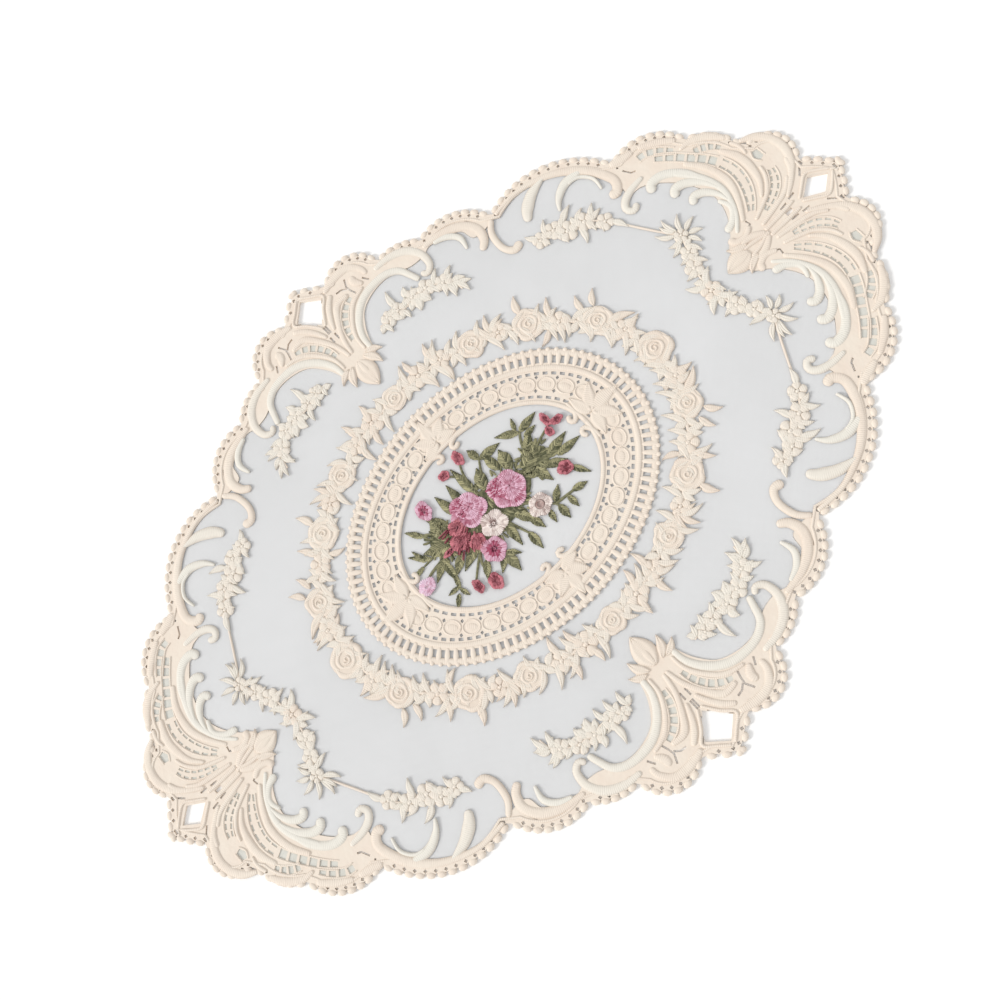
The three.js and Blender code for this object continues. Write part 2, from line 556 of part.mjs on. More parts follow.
// Side garlands, each from corner to corner past the end of the ring
[["right", 1], ["left", -1]].forEach(([side, sx]) => {
  const line = cordOutline({ path: GARLAND_STEM, wide: GARLAND_STEM_WIDE });
  const halves = [1, -1].flatMap((sy) => [
    solid(flat(quarterOf(line, [sx, sy]), LACE_LOW, LACE_TOP)),
    ...GARLAND_FLOWERS.map((row) => flowerSolid(row, [sx, sy], LACE_LOW, CORD_TOP)),
    ...GARLAND_LEAVES.map((row) => solid(flat(quarterOf(leafOutline(row), [sx, sy]), LACE_LOW, MOTIF_TOP))),
  ]);
  const middle = GARLAND_AXIS_FLOWERS.map((row) => flowerSolid(row, [sx, 1], LACE_LOW, CORD_TOP));
  place(`garland_${side}`, sum([...halves, ...middle]), FLOWER_THREAD);
});

// Bouquet: foliage, then the flowers and buds sewn over it
{
  const { x, y, long, wide, steps } = BOUQUET_BED;
  const pad = ovalOutline([long, wide], steps).map(([a, b]) => [x + a, y + b]);
  const bed = solid(flat(pad, LACE_LOW, FOLIAGE_TOP));
  const stems = BOUQUET_STEMS.map(({ path }) => (
    solid(flat(cordOutline({ path, wide: BOUQUET_STEM_WIDE }), LACE_LOW, FOLIAGE_TOP))));
  const leaves = BOUQUET_LEAVES.map((row) => solid(flat(leafOutline(row), LACE_LOW, FOLIAGE_TOP)));
  place("bouquet_foliage", sum([bed, ...stems, ...leaves]), OLIVE_THREAD);
  BOUQUET_BLOOMS.forEach(({ name, colour, ...bloom }) => {
    const body = flowerSolid(bloom, [1, 1], BLOOM_LOW, BLOOM_TOP);
    place(`bouquet_${name}`, body, { colour, roughness: BLOOM_ROUGHNESS });
  });
}

export default part;
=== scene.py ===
import json
import math

import bmesh
import bpy
import numpy as np
from mathutils import Matrix, Vector
from mathutils.geometry import delaunay_2d_cdt

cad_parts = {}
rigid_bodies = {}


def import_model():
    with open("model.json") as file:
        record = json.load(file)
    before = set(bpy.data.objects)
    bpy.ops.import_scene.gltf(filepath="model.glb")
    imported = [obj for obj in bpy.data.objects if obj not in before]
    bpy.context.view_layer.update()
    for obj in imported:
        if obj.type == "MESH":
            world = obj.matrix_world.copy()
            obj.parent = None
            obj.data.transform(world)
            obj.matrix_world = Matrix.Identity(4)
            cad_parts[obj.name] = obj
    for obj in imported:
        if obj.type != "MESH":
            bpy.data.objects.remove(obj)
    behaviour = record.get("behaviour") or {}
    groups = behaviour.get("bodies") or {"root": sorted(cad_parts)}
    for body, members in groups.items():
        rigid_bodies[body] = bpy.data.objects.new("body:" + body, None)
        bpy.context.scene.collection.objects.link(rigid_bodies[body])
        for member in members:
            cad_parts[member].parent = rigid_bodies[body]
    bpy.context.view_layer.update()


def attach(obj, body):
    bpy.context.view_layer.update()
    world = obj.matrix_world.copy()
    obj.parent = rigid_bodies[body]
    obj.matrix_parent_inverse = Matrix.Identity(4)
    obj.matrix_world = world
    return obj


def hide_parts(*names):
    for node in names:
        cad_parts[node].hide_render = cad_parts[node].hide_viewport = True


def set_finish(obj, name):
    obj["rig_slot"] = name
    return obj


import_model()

# Sheer panel
# One piece of organza, cut to the inner run of the lace. It is woven from fine twisted yarn, so the table
# shows through it, and it lies almost flat with a few soft ripples.
MM = 0.001
SEAM = [
    (0, 100.5), (6, 100), (10.4, 101.6), (11.4, 106), (14.2, 113), (20, 120.6), (27.5, 124), (36, 125),
    (44, 123.4), (52, 119.5), (60, 118.6), (65, 120), (72, 120.2), (78, 117.8), (82, 113), (83.4, 106.5),
    (87.5, 104.6), (93, 104.8), (105, 105.6), (119, 104), (130, 99.6), (140, 92.6), (147.6, 83), (150.4, 74),
    (149.6, 63.4), (156, 61.4), (162, 57.4), (168.4, 50.2), (172.6, 42.5), (175, 34), (174.6, 26.6),
    (171.4, 19), (166, 12.2), (160.6, 7.6), (158.6, 0),
]
SEAM_STEPS = 120
SEAM_PLAY = 0.9985
PANEL_HEIGHT = 0.75
PANEL_THICK = 0.12
PANEL_RIPPLE = 0.1
RIPPLE_RUN = (7.3, 5.9)
PANEL_GRID = 4.0
QUARTERS = [(1, 1), (-1, 1), (-1, -1), (1, -1)]


def smooth_run(knots, steps):
    """Points on a smooth curve through the knots."""
    knots = np.array(knots, float)
    last = len(knots) - 1
    found = []
    for i in range(steps + 1):
        place = last * i / steps
        k = min(int(place), last - 1)
        t = place - k
        before, a, b, after = knots[max(k - 1, 0)], knots[k], knots[k + 1], knots[min(k + 2, last)]
        start, end = (b - before) / 2, (after - a) / 2
        cubic = (2 * a - 2 * b + start + end) * t**3
        square = (3 * b - 3 * a - 2 * start - end) * t**2
        found.append(cubic + square + start * t + a)
    return np.array(found)


def all_round(quarter):
    """A quarter's run, from the short axis to the long axis, carried round all four quarters."""
    quarter = np.array(quarter, float)
    half = np.vstack([quarter, (quarter * (1, -1))[::-1][1:]])
    return np.vstack([half, (half * (-1, 1))[::-1][1:-1]])


def within(spots, loop):
    """Which spots lie inside a closed loop."""
    low, high = loop.min(0), loop.max(0)
    near = np.nonzero(((spots >= low) & (spots <= high)).all(1))[0]
    ahead = np.roll(loop, -1, axis=0)
    x, y = spots[near, :1], spots[near, 1:]
    spans = (loop[:, 1] > y) != (ahead[:, 1] > y)
    drop = np.where(ahead[:, 1] == loop[:, 1], 1e-9, ahead[:, 1] - loop[:, 1])
    meets = x < (ahead[:, 0] - loop[:, 0]) * (y - loop[:, 1]) / drop + loop[:, 0]
    found = np.zeros(len(spots), bool)
    found[near] = (spans & meets).sum(1) % 2 == 1
    return found


def cut_cloth(loops, grid=None):
    """Triangles that fill the first loop, with all the others left open."""
    spots, edges = [], []
    for loop in loops:
        first = len(spots)
        spots += [Vector(p) for p in loop]
        edges += [(first + i, first + (i + 1) % len(loop)) for i in range(len(loop))]
    if grid:
        reach = np.abs(loops[0]).max(0)
        for x in np.arange(-reach[0], reach[0], grid):
            spots += [Vector((x, y)) for y in np.arange(-reach[1], reach[1], grid)]
    cloth = delaunay_2d_cdt(spots, edges, [], 0, 1e-5)
    points, faces = np.array([tuple(p) for p in cloth[0]]), np.array(cloth[2])
    middles = points[faces].mean(1)
    kept = within(middles, loops[0])
    for loop in loops[1:]:
        kept &= ~within(middles, loop)
    used, fresh = np.unique(faces[kept], return_inverse=True)
    return points[used], fresh.reshape(-1, 3).tolist()


class Needlework:
    """Closed stitched forms in millimetres that end up in one piece, with what its thread runs along."""

    def __init__(self):
        self.points, self.faces, self.count = [], [], 0
        self.marks = {"along": [], "across": [], "tone": [], "hue": []}

    def add(self, points, faces, along, across, tone, hue=0.0):
        self.points.append(np.asarray(points, float))
        self.faces += [[self.count + i for i in face] for face in faces]
        for name, value in (("along", along), ("across", across), ("tone", tone), ("hue", hue)):
            self.marks[name].append(np.broadcast_to(np.asarray(value, float), len(points)))
        self.count += len(points)

    def slab(self, loops, low, high, grid=None, tone=0.5, swell=0.0):
        flat, faces = cut_cloth(loops, grid)
        ripple = np.sin(flat / RIPPLE_RUN)
        top = np.column_stack([flat, high + swell * ripple[:, 0] * ripple[:, 1]])
        foot = np.column_stack([flat, np.full(len(flat), low)])
        lone = {}
        for face in faces:
            for a, b in zip(face, face[1:] + face[:1]):
                key = (min(a, b), max(a, b))
                lone[key] = None if key in lone else (a, b)
        n = len(flat)
        walls = [[b, a, a + n, b + n] for a, b in filter(None, lone.values())]
        under = [[i + n for i in reversed(face)] for face in faces]
        self.add(np.vstack([top, foot]), faces + under + walls, 0.0, 0.0, tone)

    def piece(self, name, finish, slot, *nodes):
        mesh = bpy.data.meshes.new(name)
        mesh.from_pydata((np.vstack(self.points) * MM).tolist(), [], self.faces)
        for mark, values in self.marks.items():
            layer = mesh.attributes.new(mark, "FLOAT", "POINT")
            layer.data.foreach_set("value", np.concatenate(values).astype(np.float32))
        shape = bmesh.new()
        shape.from_mesh(mesh)
        bmesh.ops.recalc_face_normals(shape, faces=shape.faces)
        shape.to_mesh(mesh)
        shape.free()
        mesh.polygons.foreach_set("use_smooth", np.ones(len(mesh.polygons), bool))
        mesh.set_sharp_from_angle(angle=math.radians(62))
        return hand_over(set_out(name, mesh), finish, slot, *nodes)


def set_out(name, data):
    made = bpy.data.objects.new(name, data)
    bpy.context.scene.collection.objects.link(made)
    return made


def hand_over(made, finish, slot, *nodes):
    """Gives a finished piece its material and its place in the frame."""
    made.data.materials.clear()
    made.data.materials.append(finish)
    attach(made, "root")
    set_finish(made, slot)
    if nodes:
        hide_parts(*nodes)
    return made


class Strand:
    """A value in a node tree, so that sums and products of strands add Math nodes."""

    def __init__(self, loom, socket):
        self.loom, self.socket = loom, socket

    def joined(self, kind, *others):
        return self.loom.node("ShaderNodeMath", {"operation": kind}, dict(enumerate(others)))

    def __add__(self, other):
        return self.joined("ADD", self, other)

    def __sub__(self, other):
        return self.joined("SUBTRACT", self, other)

    def __rsub__(self, other):
        return self.joined("SUBTRACT", other, self)

    def __mul__(self, other):
        return self.joined("MULTIPLY", self, other)

    __radd__ = __add__
    __rmul__ = __mul__


class Loom:
    """A node tree, to which nodes are added one by one."""

    def __init__(self, tree):
        self.tree = tree

    def node(self, kind, settings=None, sockets=None, out=0):
        made = self.tree.nodes.new(kind)
        for name, value in (settings or {}).items():
            setattr(made, name, value)
        for key, value in (sockets or {}).items():
            self.fill(made.inputs[key], value)
        return Strand(self, made.outputs[out])

    def fill(self, socket, value):
        if isinstance(value, Strand):
            self.tree.links.new(value.socket, socket)
        else:
            socket.default_value = value


class Dye(Loom):
    """The finish of one kind of thread or cloth."""

    def __init__(self, name, **constants):
        self.material = bpy.data.materials.new(name)
        self.material.use_nodes = True
        super().__init__(self.material.node_tree)
        self.shader = self.tree.nodes["Principled BSDF"]
        self.put(**constants)

    def put(self, **sockets):
        for name, value in sockets.items():
            self.fill(self.shader.inputs[name.replace("_", " ")], value)

    def mark(self, name):
        return self.node("ShaderNodeAttribute", {"attribute_name": name}, out="Fac")

    def place(self):
        return self.node("ShaderNodeTexCoord", out="Object")

    def cloud(self, per_metre, detail=2.0):
        sockets = {"Vector": self.place(), "Scale": per_metre, "Detail": detail}
        return self.node("ShaderNodeTexNoise", {}, sockets)

    def between(self, share, low, high):
        return self.node("ShaderNodeMix", {"data_type": "RGBA"}, {0: share, 6: low, 7: high}, out=2)

    def wave(self, value, per_unit):
        return self.node("ShaderNodeMath", {"operation": "SINE"}, {0: value * (2 * math.pi * per_unit)})

    def bumped(self, height, strength, deep):
        sockets = {"Height": height, "Strength": strength, "Distance": deep}
        self.put(Normal=self.node("ShaderNodeBump", {}, sockets))


ORGANZA_PALE = (0.86, 0.865, 0.875, 1)
ORGANZA_GREY = (0.78, 0.785, 0.79, 1)
YARNS_PER_METRE = 1400
organza = Dye("organza", Sheen_Weight=0.3, Sheen_Roughness=0.4, Specular_IOR_Level=0.3)
spot = organza.node("ShaderNodeSeparateXYZ", {}, {0: organza.place()})
spot_y = Strand(organza, spot.socket.node.outputs[1])
weave = organza.wave(spot, YARNS_PER_METRE) * organza.wave(spot_y, YARNS_PER_METRE)
ripple = organza.cloud(14, 3.0)
organza.put(Base_Color=organza.between(ripple, ORGANZA_GREY, ORGANZA_PALE))
organza.put(Alpha=0.60 + 0.12 * ripple + 0.02 * weave)
organza.put(Roughness=0.5 + 0.2 * ripple)
organza.bumped(weave * 0.5 + ripple * 2.0, 0.25, 0.0004)

seam = all_round(smooth_run(SEAM, SEAM_STEPS))
panel_work = Needlework()
panel_top = PANEL_HEIGHT + PANEL_THICK
panel_work.slab([seam * SEAM_PLAY], PANEL_HEIGHT, panel_top, grid=PANEL_GRID, swell=PANEL_RIPPLE)
panel = panel_work.piece("sheer_panel", organza.material, "organza", "sheer_ground")

# Lace border, ground
# The close-stitched ground of the border, worked on a film that is washed away. Its outer edge follows the
# scallops. Kite eyes, windows and slits in the fans and a row of pinholes behind the picots are left open.
SCALLOPS = [
    (14.5, 147.3, 1.2), (43.5, 136.3, 9.6), (65, 127.5, 2.8), (98, 109.3, 7.4), (156, 82, 12.6),
    (188.5, 63.5, 8), (203.5, 40, 3.6), (215.2, 15.2, 9.2), (226, 0, 0.8),
]
TIP = (0, 157.5)
PICOT_PITCH = 5.3
GROUND_TOP = 1.5
LACE_GRID = 3.0
GROUND_INSET = 2.5
PINHOLE_INSET = 3.7
PINHOLE_SIZE = 1.0
KITES = [[(0, 150), (8.8, 142.5), (0, 132)], [(217, 0), (209.5, 5.6), (201, 0)]]
SLITS = [
    [(10, 142.5), (5, 138), (2, 133.5)], [(0.6, 130.5), (0.6, 125.5)], [(1.6, 124), (1.6, 120)],
    [(5.2, 125), (4, 120), (2.8, 115.5)], [(24, 141), (22, 137), (22.5, 134), (23.5, 130.8)],
    [(16, 138.5), (19, 138), (21.5, 136)], [(31, 134.5), (33, 131)], [(86.5, 115.5), (88, 113), (89.5, 110)],
    [(157, 79.5), (155, 76.5)], [(156, 74), (158, 70), (160, 69)], [(207.5, 8.5), (213, 14)],
    [(175.5, 12), (176, 9.5), (172, 7)],
    [(190, 3.5), (194, 4)], [(196, 4.5), (200, 5)], [(190, 0.5), (194, 0.5)],
]
SLIT_WIDE = 1.0
LADDERS = [
    ([(180.6, 13), (184.6, 17.6), (188.2, 23.6), (190.2, 30), (190.4, 36), (189, 41.4)],
     (2.6, 4, 4.8, 5, 5, 4.8), 4.3, 2),
    ([(188.6, 42.4), (185.6, 48), (181, 54.4), (175.6, 61.4), (170, 67)], (4.4, 4, 3.8, 3.8, 3.2), 5.1, 1),
    ([(185, 8.4), (191, 10.4), (196.6, 13.4), (200.2, 17.4), (202, 21.6)], (2, 3.6, 4, 4, 3), 4.0, 2),
    ([(184.4, 55), (188.6, 53), (192.6, 50), (195, 46)], (2.6, 3.6, 3.6, 2.4), 3.9, 1),
    ([(164.6, 72.6), (169.4, 71.6), (174.6, 67.6), (179.6, 62)], (3, 3.4, 3.4, 2.4), 4.3, 1),
    ([(203.6, 34), (202.8, 30.8), (203.8, 27.6)], (2.4, 4.2, 2.4), 6.2, 1),
    ([(5.8, 113.6), (7.4, 120), (11, 126), (15.6, 129.8), (20.6, 131.6)], (1.8, 3, 3.4, 3.2, 2), 4.4, 1),
]
FINE_SLIT = 1.1
RUNG = 1.2


def scallop_edge(inset, keep):
    """One quarter of the scalloped edge, drawn in by inset, at the half picots that keep asks for."""
    found = []
    start = np.array(TIP, float)
    for row, (x, y, rise) in enumerate(SCALLOPS):
        end = np.array((x, y), float)
        chord = np.hypot(*(end - start))
        run = (end - start) / chord
        out = np.array((-run[1], run[0]))
        radius = chord**2 / (8 * rise) + rise / 2
        sweep = 2 * math.asin(chord / 2 / radius)
        whole = 2 * math.pi - sweep if rise > chord / 2 else sweep
        first, last = row == 0, row == len(SCALLOPS) - 1
        steps = 2 * round(radius * whole / PICOT_PITCH) - (1 if first or last else 0)
        for i in range(steps + (1 if last else 0)):
            peak = i % 2 == (0 if first else 1)
            if not keep(peak):
                continue
            angle = (i / steps - 0.5) * whole
            side = math.sin(angle) * (radius - inset)
            rises = math.cos(angle) * (radius - inset) - (radius - rise)
            heading = run * math.cos(angle) - out * math.sin(angle)
            found.append([*(start + run * (chord / 2 + side) + out * rises), *heading])
        start = end
    return np.array(found)


def in_quarters(rows):
    """The rows' places, mirrored into all four quarters, without those that fall on one another."""
    found = {}
    for sx, sy in QUARTERS:
        for row in np.array(rows, float) * ([sx, sy] * (len(rows[0]) // 2)):
            found[(round(row[0], 2) + 0.0, round(row[1], 2) + 0.0)] = row
    return list(found.values())


def leftward(ahead):
    """Unit directions to the left of some headings."""
    ahead = ahead / np.maximum(np.hypot(*ahead.T), 1e-9)[:, None]
    return np.column_stack([-ahead[:, 1], ahead[:, 0]])


def beside(run, away):
    """A run moved sideways, to the left where away is above 0."""
    return run + leftward(np.gradient(run, axis=0)) * np.reshape(away, (-1, 1))


def strip(path, half):
    """The rim of a strip or slit, half to either side of its path."""
    line = np.array(path, float)
    return np.vstack([beside(line, half), beside(line, -half)[::-1]])


def paced(line):
    """How far along a run each of its points lies."""
    return np.r_[0, np.cumsum(np.hypot(*np.diff(line, axis=0).T))]


def spots_on(line, at):
    """Places at some distances along a run."""
    legs = paced(line)
    return np.column_stack([np.interp(at, legs, line[:, 0]), np.interp(at, legs, line[:, 1])])


def breadth(share, wide):
    """How wide a band is at a share of its length."""
    return np.interp(share, np.linspace(0, 1, len(wide)), wide)


def ladder_cells(path, wide, pitch, rows):
    """Openings along a strip with a rung between each two: whole windows, or two rows of slits."""
    line = smooth_run(path, 80)
    legs = paced(line)
    count = round(legs[-1] / pitch)
    found = []
    for k in range(count):
        at = (np.array((k, k + 0.5, k + 1)) + np.array((0.5, 0, -0.5)) * RUNG / pitch) / count * legs[-1]
        middle = spots_on(line, at)
        half = np.interp(at, legs, breadth(legs / legs[-1], wide)) / 2
        if rows == 1:
            found.append(strip(middle, half))
            continue
        for hand in (1, -1):
            outer, inner = beside(middle, half * hand), beside(middle, (half - FINE_SLIT) * hand)
            found.append(np.vstack([outer, inner[::-1]]))
    return found


ground_edge = all_round(scallop_edge(GROUND_INSET, lambda peak: True)[:, :2])
openings = [seam]
for tip, side, inner in KITES:
    across = (-side[0], side[1]) if tip[0] == 0 else (side[0], -side[1])
    kite = np.array([tip, side, inner, across])
    openings += [kite, kite * (-1 if tip[1] == 0 else 1, 1 if tip[1] == 0 else -1)]
for path in SLITS:
    openings += [strip(path, SLIT_WIDE / 2) * signs for signs in QUARTERS]
for path, wide, pitch, rows in LADDERS:
    for cell in ladder_cells(path, wide, pitch, rows):
        openings += [cell * signs for signs in QUARTERS]
pinholes = in_quarters(scallop_edge(PINHOLE_INSET, lambda peak: not peak))
for x, y, hx, hy in pinholes:
    turned = [(hx, hy), (-hy, hx), (-hx, -hy), (hy, -hx)]
    openings.append(np.array([(x + PINHOLE_SIZE * a, y + PINHOLE_SIZE * b) for a, b in turned]))

LACE_LIGHT = (0.80, 0.73, 0.635, 1)
LACE_WARM = (0.75, 0.635, 0.54, 1)
LACE_PALE = (0.76, 0.745, 0.68, 1)
# Taupe painted shade: mixed in along band edges and where the tone mark is low.
LACE_PAINTED_SHADE = (0.36, 0.25, 0.17, 1)
STITCHES_PER_MM = 1.1


def lace_finish(name, per_metre):
    """Satin thread in soft patches, with painted shade along a band's edges and where a low tone mark asks
    for it.
    """
    dye = Dye(name, Sheen_Weight=0.35, Sheen_Roughness=0.45, Specular_IOR_Level=0.35)
    strands = dye.wave(dye.mark("along") + dye.cloud(260) * 0.5, STITCHES_PER_MM)
    patches = dye.cloud(per_metre, 4.0)
    thread = dye.between(dye.mark("hue"), dye.between(patches, LACE_WARM, LACE_LIGHT), LACE_PALE)
    # A low tone mark mixes in the painted shade.
    thread = dye.between(dye.mark("tone") * 1.3 - 0.05 + patches * 0.1, LACE_PAINTED_SHADE, thread)
    # Painted shade along both edges of each band, strongest at the very rim.
    painted_edge_shade = dye.mark("across") * dye.mark("across")
    dye.put(Base_Color=dye.between(painted_edge_shade * painted_edge_shade * 0.3, thread, LACE_PAINTED_SHADE))
    dye.put(Roughness=0.55 + 0.2 * patches)
    dye.bumped(strands * 0.3 + dye.cloud(420, 4.0) * 1.5, 0.5, 0.0003)
    return dye.material


lace_ground_thread = lace_finish("lace_ground_thread", 120)
lace_thread = lace_finish("lace_thread", 60)
ground_work = Needlework()
ground_work.slab([ground_edge, *openings], 0.0, GROUND_TOP, grid=LACE_GRID, tone=0.8, swell=0.1)
ground_work.piece("lace_ground", lace_ground_thread, "lace_thread", "lace_border")

# Lace border, film behind the ladders
# The same organza shows in the windows of the fans. A strip of it lies behind each ladder, inside the ground.
FILM_LOW = 0.95
FILM_HIGH = 1.05
FILM_LAP = 0.6
NET_PALE = (0.80, 0.80, 0.755, 1)
NET_SHADE = (0.70, 0.69, 0.63, 1)
net = Dye("fan_net", Sheen_Weight=0.3, Sheen_Roughness=0.4, Specular_IOR_Level=0.3)
mesh_mottle = net.cloud(160, 3.0)
net.put(Base_Color=net.between(mesh_mottle, NET_SHADE, NET_PALE))
net.put(Alpha=0.72 + 0.16 * mesh_mottle)
net.put(Roughness=0.55 + 0.2 * mesh_mottle)
net.bumped(net.cloud(1500), 0.4, 0.0002)
film_work = Needlework()
for path, wide, *_ in LADDERS:
    line = smooth_run(path, 24)
    backing = strip(line, breadth(np.linspace(0, 1, len(line)), wide) / 2 + FILM_LAP)
    for signs in QUARTERS:
        film_work.slab([backing * signs], FILM_LOW, FILM_HIGH)
film_work.piece("fan_film", net.material, "organza")

# Lace border, picots
# Small loops of thread packed side by side round the edge, each wound over itself until it looks like a bead.
# They are joined to the ground as it is worked.
PICOT_SIZE = (2.3, 1.6, 0.95)
PICOT_INSET = 1.75
PICOT_HEIGHT = 1.1


def repeated(name, rows, height, size, finish, slot):
    """A small rounded form on every place in rows, turned to face along the row's heading."""
    places = bpy.data.meshes.new(name)
    places.from_pydata([(x * MM, y * MM, height * MM) for x, y, *_ in rows], [], [])
    heading = places.attributes.new("heading", "FLOAT_VECTOR", "POINT")
    heading.data.foreach_set("vector", [v for row in rows for v in (row[2], row[3], 0.0)])
    carrier = set_out(name, places)
    tree = bpy.data.node_groups.new(name, "GeometryNodeTree")
    tree.is_modifier = True
    face = tree.interface
    face.new_socket("Places", in_out="INPUT", socket_type="NodeSocketGeometry")
    choices = []
    for word, value in zip(("Half length", "Half width", "Half height"), size):
        choices.append((face.new_socket(word, in_out="INPUT", socket_type="NodeSocketFloat"), value * MM))
    choices.append((face.new_socket("Thread", in_out="INPUT", socket_type="NodeSocketMaterial"), finish))
    face.new_socket("Work", in_out="OUTPUT", socket_type="NodeSocketGeometry")
    steps = Loom(tree)

    def given(word):
        return steps.node("NodeGroupInput", out=word)

    kind = {"data_type": "FLOAT_VECTOR"}
    heading = steps.node("GeometryNodeInputNamedAttribute", kind, {"Name": "heading"})
    turned = steps.node("FunctionNodeAlignRotationToVector", {"axis": "X"}, {"Vector": heading})
    halves = {"X": given("Half length"), "Y": given("Half width"), "Z": given("Half height")}
    scale = steps.node("ShaderNodeCombineXYZ", {}, halves)
    form = steps.node("GeometryNodeMeshUVSphere", {}, {"Segments": 8, "Rings": 6, "Radius": 1.0})
    spread = {"Points": given("Places"), "Instance": form, "Rotation": turned, "Scale": scale}
    laid = steps.node("GeometryNodeInstanceOnPoints", {}, spread)
    whole = steps.node("GeometryNodeRealizeInstances", {}, {0: laid})
    soft = steps.node("GeometryNodeSetShadeSmooth", {}, {0: whole})
    done = steps.node("GeometryNodeSetMaterial", {}, {0: soft, "Material": given("Thread")})
    tree.links.new(done.socket, tree.nodes.new("NodeGroupOutput").inputs[0])
    modifier = carrier.modifiers.new("repeat", "NODES")
    modifier.node_group = tree
    for socket, value in choices:
        modifier[socket.identifier] = value
    bpy.context.view_layer.update()
    seen = carrier.evaluated_get(bpy.context.evaluated_depsgraph_get())
    plain = bpy.data.meshes.new_from_object(seen)
    plain.name = name
    carrier.modifiers.clear()
    carrier.data = plain
    return hand_over(carrier, finish, slot)


knot = Dye("knot_thread", Sheen_Weight=0.3, Sheen_Roughness=0.45, Specular_IOR_Level=0.35)
wound = knot.cloud(900, 3.0)
knot.put(Base_Color=knot.between(knot.cloud(90), LACE_WARM, LACE_LIGHT))
knot.put(Roughness=0.6 + 0.15 * wound)
knot.bumped(wound, 0.6, 0.0003)
picot_places = in_quarters(scallop_edge(PICOT_INSET, lambda peak: peak))
repeated("lace_picots", picot_places, PICOT_HEIGHT, PICOT_SIZE, knot.material, "lace_thread")

